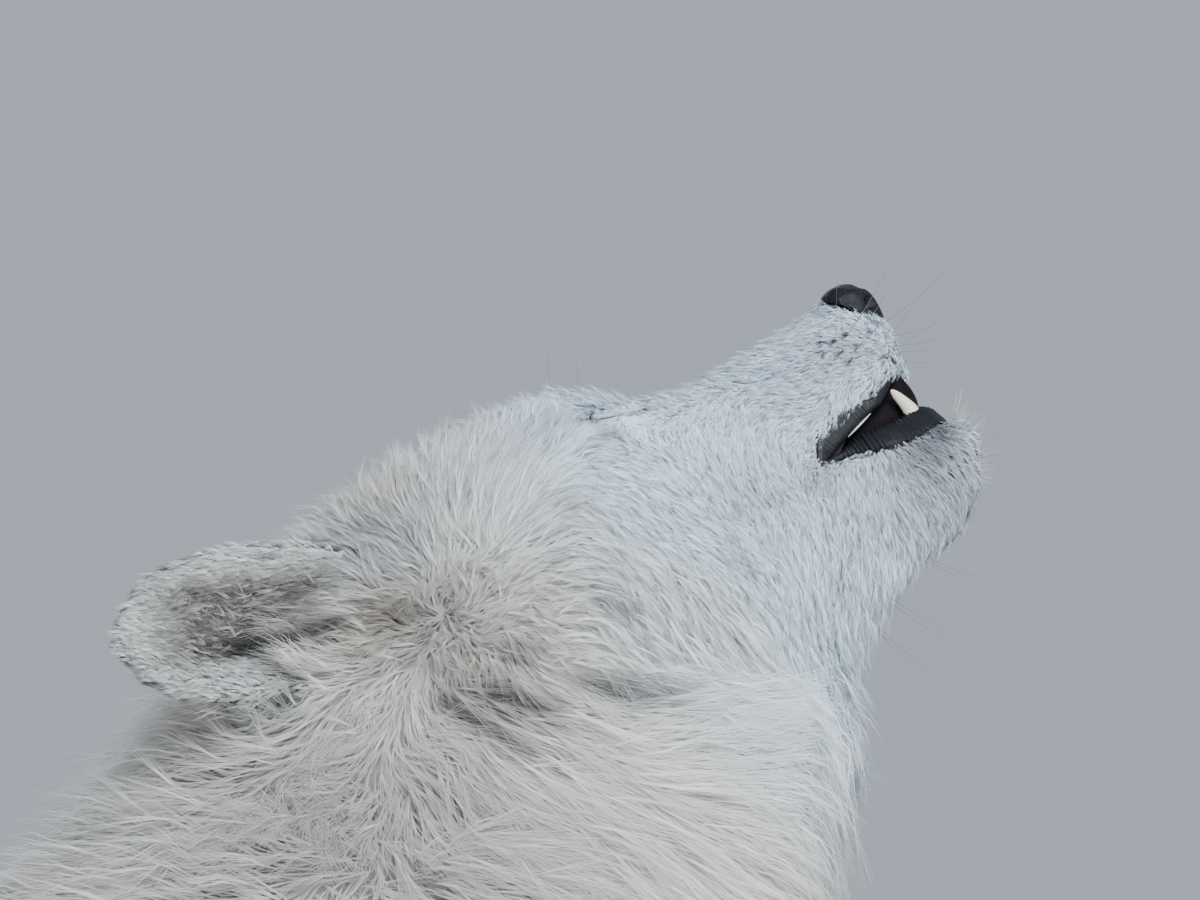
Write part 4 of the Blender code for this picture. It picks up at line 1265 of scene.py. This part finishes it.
def lipStations(outerName, innerName, curl, push):
    stations = []
    outer, inner = (smoothCurve(lipLine[name], lips["steps"]) for name in (outerName, innerName))
    pairs = list(zip(outer, inner))
    for a, b, side in [(a, b, 1) for a, b in pairs] + [(a, b, -1) for a, b in pairs[-2::-1]]:
        edge, rim = onSide(a, side), onSide(b, side)
        edge += (edge - rim) * push
        wide = (rim - edge) / 2 * 1.12
        outward = headFrame.to_3x3() @ Vector((0.35 + 0.1 * a.x, side * a.y, curl))
        thick = outward - wide * (outward.dot(wide) / max(wide.length_squared, 1e-12))
        full = lips["thickness"] * (0.35 + 0.65 * float(rise(-a.x, 2.2, 3.8)))
        stations.append(((edge + rim) / 2, wide, thick.normalized() * min(full, wide.length * 0.8)))
    return stations


def ribbed(rings, stations, scallop, ribs):
    # ribs across the lip, deepest from the corner to the canine, and scallops on its rim
    travelled = 0.0
    for k, ring in enumerate(rings):
        centre, wide, _ = stations[k]
        if k:
            travelled += (centre - stations[k - 1][0]).length
        share = min(k, len(rings) - 1 - k) / lips["steps"]      # 0 at a corner, 1 at the front
        depth = min(1.0, share / 0.08) * (1 - 0.5 * float(rise(share, 0.42, 0.62)))
        drift = 1.1 * math.sin(travelled / (2.7 * mm))
        wave = math.sin(2 * math.pi * travelled / lips["ribPitch"] + drift)
        wave += 0.5 * math.sin(travelled / (0.8 * mm))
        wave *= 0.75 + 0.45 * math.sin(travelled / (3.6 * mm) + 1)
        for vert in ring:
            onRim = max(0.0, (vert.co - centre).dot(wide.normalized()) / wide.length)
            vert.co = centre + (vert.co - centre) * (1 + ribs * depth * wave)
            vert.co += wide.normalized() * (scallop * depth * wave * onRim)


def buildLip(name, outerName, innerName, curl, push, scallop, ribs, wet):
    mesh = bmesh.new()
    stations = lipStations(outerName, innerName, curl, push)
    ribbed(loft(mesh, stations, lips["segments"]), stations, scallop, ribs)
    finished(mesh, name, lipMaterial(name, (0.005, 0.0055, 0.008), wet, 0.2), "nose_skin", 1)


def tube(mesh, curve, segments, shape):
    # a closed bar along a curve; shape gives its two half-widths from the share of the way and the heading
    steps = len(curve) - 1
    loft(mesh, [(centre, *shape(k / steps, heading(curve, k))) for k, centre in enumerate(curve)], segments)


def bar(name, path, segments, material):
    # a closed bar in the mouth: X and Z in the head's frame, then its half-width and half-height
    mesh = bmesh.new()
    stations = []
    for x, z, wide, thick in path:
        up = headFrame.to_3x3() @ Vector((0, 0, thick * cm))
        stations.append((inHead(x, 0, z), Vector((0, wide * cm, 0)), up))
    loft(mesh, stations, segments)
    finished(mesh, name, material, "nose_skin", 2)


def buildWetEdgeGlint():
    # the moist inner edge of the upper lip: a real glossy coat, and a pale colour that is its bright line's
    # painted highlight
    mesh = bmesh.new()
    for side in (-1, 1):
        def shape(share, along, out=Vector((0, side, 0))):
            wide = along.cross(out).normalized() * (0.55 * mm * math.sin(math.pi * (0.08 + 0.84 * share)))
            return wide, along.cross(wide)

        line = [onSide((x, y + 0.06, z - 0.05), side) for x, y, z in lipLine["upperInner"][2:5]]
        tube(mesh, smoothCurve(line, 20), 8, shape)
    finish = grained("wetEdgeGlint", (110.0, (0.10, 0.10, 0.11), (0.75, 0.76, 0.78)), (90.0, 0.05, 0.25))
    finish.set(Coat_Weight=1.0, Coat_Roughness=0.05)
    finished(mesh, "lip_wet_edge_glint", finish.data, "nose_skin", 1)


teeth = {
    "canine": [(-2.50, 1.20, -6.0), (-2.30, 1.30, -5.4), (-2.16, 1.48, -4.9), (-2.2, 1.75, -3.95)],
    # each smaller tooth's X, Y, foot and height, from the middle to the back
    "small": [(-2.0, 0.28, -6.0, 0.42), (-2.05, 0.68, -6.0, 0.45), (-2.15, 1.02, -6.0, 0.48),
              (-2.8, 1.70, -5.85, 0.70), (-3.7, 1.8, -5.85, 0.50), (-4.6, 1.95, -5.85, 0.50)],
}


def toothMesh(mesh, line, side, foot, taper, segments):
    def shape(share, along):
        radius = foot * (1 - taper * share**1.5) * mm * (1 if share < 1 else 0.45)
        return headFrame.to_3x3() @ Vector((radius, 0, 0)), Vector((0, radius * 0.72, 0))

    tube(mesh, smoothCurve([onSide(place, side) for place in line], 12), segments, shape)


def buildTeeth():
    # lower canines, the incisors between them, and the small premolars behind
    mesh = bmesh.new()
    for side in (-1, 1):
        toothMesh(mesh, teeth["canine"], side, 5.0, 0.74, 14)
        for x, y, foot, tall in teeth["small"]:
            line = [(x, y, foot), (x + 0.03, y, foot + tall / 2), (x, y, foot + tall)]
            toothMesh(mesh, line, side, 2.0, 0.75, 8)
    shades = (160.0, (0.80, 0.76, 0.64), (0.62, 0.54, 0.38))
    enamel = grained("tooth", shades, (160.0, 0.2, 0.2), (500.0, 0.1, 0.4))
    finished(mesh, "lower_teeth", enamel.data, None, 1)


buildLip("upper_lips", "upper", "upperInner", -1.2, 0.0, 0.0, 0.03, 0.7)
buildLip("lower_lips", "lower", "lowerTop", 0.6, 0.03, lips["scallop"], 0.17, 0.4)
buildWetEdgeGlint()
mouthBars = {
    "mouth_lining": [(-7.4, -4.7, 0.9, 0.3), (-6.2, -4.75, 2.0, 0.7), (-5, -4.6, 2.0, 1.1),
                     (-3.8, -4.5, 1.8, 1.3), (-2.8, -4.4, 1.45, 1.3), (-2.1, -4.2, 1.1, 1.2),
                     (-1.7, -3.9, 0.9, 1.0), (-1.35, -3.5, 0.7, 0.7)],
    "tongue": [(-6.0, -5.4, 1.6, 0.3), (-5.2, -5.35, 2.1, 0.45), (-4.3, -5.3, 2.0, 0.5),
               (-3.4, -5.3, 1.8, 0.45), (-2.6, -5.4, 1.3, 0.35), (-2.1, -5.6, 0.8, 0.25)],
}
# the lining is near black and the tongue a dark red: their own flesh colours, darkened as painted shade
# inside the mouth
darkFleshInShade = lipMaterial("mouthLining", (0.008, 0.006, 0.007), 0.0, 0.06)
bar("mouth_lining", mouthBars["mouth_lining"], 16, darkFleshInShade)
bar("tongue", mouthBars["tongue"], 14, lipMaterial("tongueFleshInShade", (0.040, 0.016, 0.017), 0.5, 0.2))
buildTeeth()
print("mouth done")


def buildEye(side, name):
    # the shut eye is a dark moist seam between the lids, wider at both corners
    mesh = bmesh.new()
    out = headFrame.to_3x3() @ Vector((0.57, side * 0.66, 0.49)).normalized()

    def shape(share, along):
        half = 0.5 + 0.75 * float(bell(share - 0.06, 0.08)) + 0.8 * float(bell(share - 0.90, 0.08))
        return along.cross(out).normalized() * half * mm, out * 1.3 * mm

    tube(mesh, smoothCurve([onSide(place, side) - out * 0.5 * mm for place in eyeSlit], 24), 8, shape)
    finished(mesh, name + "_shut", lipMaterial(name, (0.018, 0.017, 0.02), 0.5), "eyelid", nodes=[name])


for side, name in ((-1, "right_eye"), (1, "left_eye")):
    buildEye(side, name)
print("eyes done")


hairs = {"segments": 5, "stations": 7}
whiskers = [
    # root, tip and half thickness in millimetres
    ((-1.99, 2.37, -1.12), (1.35, 3.40, -0.45), 0.22), ((-0.96, 1.85, -1.57), (3.25, 2.60, -2.05), 0.22),
    ((-1.10, 1.95, -1.20), (1.70, 2.60, -0.60), 0.16), ((-0.60, 1.30, -2.10), (1.50, 1.80, -3.35), 0.14),
    ((-0.75, 1.30, -2.50), (1.20, 1.90, -4.05), 0.14), ((-2.46, 2.46, -0.99), (-0.60, 4.10, 0.60), 0.16),
    ((-2.63, 2.67, -1.63), (-1.60, 5.30, -1.00), 0.18), ((-1.93, 2.47, -1.82), (-0.20, 4.90, -2.30), 0.18),
    ((-3.16, 2.67, -1.11), (-3.60, 5.40, -0.20), 0.16), ((-2.57, 2.71, -2.13), (-2.60, 5.60, -3.10), 0.18),
    ((-1.16, 0.66, -7.59), (1.10, 1.00, -8.70), 0.12), ((-1.54, 0.64, -8.11), (0.40, 1.10, -9.70), 0.12),
    ((-5.85, 0.53, -9.76), (-4.60, 1.00, -12.6), 0.15), ((-9.30, 1.40, -10.2), (-8.90, 1.60, -14.6), 0.16),
    ((-8.10, 0.90, -10.1), (-7.10, 1.30, -13.4), 0.14), ((-12.65, 3.59, 5.08), (-11.0, 4.10, 7.20), 0.14),
    ((-11.90, 4.07, 4.03), (-10.3, 4.60, 6.00), 0.14), ((-9.57, 4.50, -1.78), (-12.9, 8.35, -3.40), 0.16),
]
stubble = {"count": 15, "seed": 11, "reach": 0.055, "half": 0.17 * mm}
stubbleSpots = [(-2.87, 2.40, -0.62), (-3.10, 2.67, -1.16), (-2.57, 2.71, -2.13), (-2.46, 2.46, -0.99),
                (-2.66, 2.67, -1.60), (-1.93, 2.33, -1.05), (-1.46, 2.14, -2.89), (-1.93, 2.47, -1.82),
                (-1.15, 1.95, -1.60), (-12.70, 5.90, 2.75), (-12.55, 5.92, 2.50)]
chinHairs = {"count": 70, "seed": 21, "length": (0.6, 1.5), "half": 0.10 * mm}
lashes = {"count": 15, "seed": 31, "length": 0.85, "corner": (-12.24, 5.66, 2.68)}


def hairMesh(mesh, root, tip, half, sag=0.0):
    # one tapering hair from root to tip, with a little bend
    stations = []
    for k in range(hairs["stations"]):
        share = k / (hairs["stations"] - 1)
        centre = root.lerp(tip, share) + Vector((0, 0, -sag)) * math.sin(math.pi * share)
        along = (tip - root).normalized()
        wide = along.orthogonal().normalized() * half * (1 - 0.8 * share)
        stations.append((centre, wide, along.cross(wide)))
    loft(mesh, stations, hairs["segments"])


def hairPiece(name, mesh, rootColour, tipColour, slotName):
    finish = grained(name, (60.0, rootColour, tipColour), (200.0, 0.35, 0.2))
    finished(mesh, name, finish.data, slotName)


def buildWhiskers():
    mesh = bmesh.new()
    for side in (-1, 1):
        for (x, y, z), tip, half in whiskers:
            start, end = onSide((x, y - 0.15, z), side), onSide(tip, side)
            hairMesh(mesh, start, end, 0.75 * half * mm, (end - start).length * 0.05)
    hairPiece("whiskers", mesh, (0.05, 0.045, 0.045), (0.30, 0.26, 0.22), "face_fur")


def buildStubble():
    # a few short dark hairs stand at each whisker's root
    mesh = bmesh.new()
    dice = np.random.default_rng(stubble["seed"])
    for side in (-1, 1):
        for spot in stubbleSpots:
            for _ in range(stubble["count"]):
                root = Vector(spot) + Vector(dice.normal(0, stubble["reach"], 3)) - Vector((0, 0.12, 0))
                tip = root + Vector((-0.24, 0.24, -0.06)) * dice.uniform(0.8, 1.3)
                tip += Vector(dice.normal(0, 0.03, 3))
                hairMesh(mesh, onSide(root, side), onSide(tip, side), stubble["half"])
    hairPiece("whisker_roots", mesh, (0.03, 0.032, 0.038), (0.07, 0.07, 0.075), "face_fur")


def buildChinHairs():
    # pale hairs that fan off the front of the chin
    mesh = bmesh.new()
    dice = np.random.default_rng(chinHairs["seed"])
    for _ in range(chinHairs["count"]):
        share, side = dice.random(), dice.uniform(-1, 1)
        root = (-0.95 - 1.1 * share, 1.4 * side, -6.35 - 2.2 * share)
        lean = math.radians(78 - 95 * share + dice.normal(0, 9)) - palateSlope
        reach = dice.uniform(*chinHairs["length"]) * (1 - 0.25 * share)
        tip = (root[0] + reach * math.cos(lean), root[1] * 1.15, root[2] + reach * math.sin(lean))
        hairMesh(mesh, inHead(*root), inHead(*tip), chinHairs["half"], 0.2 * mm)
    hairPiece("chin_hairs", mesh, (0.55, 0.48, 0.40), (0.80, 0.74, 0.66), "face_fur")


def buildLashes():
    # a stiff dark tuft at each eye's outer corner, and short lashes along the seam
    mesh = bmesh.new()
    dice = np.random.default_rng(lashes["seed"])
    for side in (-1, 1):
        for _ in range(lashes["count"]):
            root = Vector(lashes["corner"]) + Vector(dice.normal(0, 0.06, 3))
            tip = root + Vector((0.70, 0.30, 0.24)) * lashes["length"] * dice.uniform(0.8, 1.25)
            tip += Vector(dice.normal(0, 0.06, 3))
            hairMesh(mesh, onSide(root, side), onSide(tip, side), 0.08 * mm)
        for x, y, z in [p.to_tuple() for p in smoothCurve(eyeSlit, 30)][2:-5]:
            tip = (x - 0.05 + dice.normal(0, 0.05), y + 0.22, z - 0.22 + dice.normal(0, 0.04))
            hairMesh(mesh, onSide((x, y, z), side), onSide(tip, side), 0.09 * mm)
    hairPiece("lashes", mesh, (0.03, 0.03, 0.035), (0.07, 0.065, 0.06), "eyelid")


claws = {"half": 4.4 * mm, "taper": 0.80, "flat": 0.72, "arch": 3.2 * mm}


def buildClaws(end):
    mesh = bmesh.new()

    def shape(share, ahead):
        up = ahead.cross(Vector((0, 1, 0))).normalized()
        radius = claws["half"] * (1 - claws["taper"] * share**1.3)
        return up * radius, ahead.cross(up) * radius * claws["flat"]

    for side in ("left", "right"):
        for toe, step in toesOf(f"{end}_{side}_paw"):
            root = toe + Vector((10 * mm, step * 1.6 * mm, 1.5 * mm))
            tip = toe + Vector((36 * mm, step * 4 * mm, -14.5 * mm))
            curve = smoothCurve([root, root.lerp(tip, 0.5) + Vector((0, 0, claws["arch"])), tip], 10)
            tube(mesh, curve, 10, shape)
    shades = (220.0, (0.05, 0.042, 0.036), (0.20, 0.17, 0.13))
    horn = grained("claw", shades, (220.0, 0.3, 0.25), (220.0, 0.2, 0.5))
    finished(mesh, end + "_claws", horn.data, None, 1)


buildWhiskers()
buildStubble()
buildChinHairs()
buildLashes()
buildClaws("front")
buildClaws("hind")
print("whiskers, lashes and claws done")
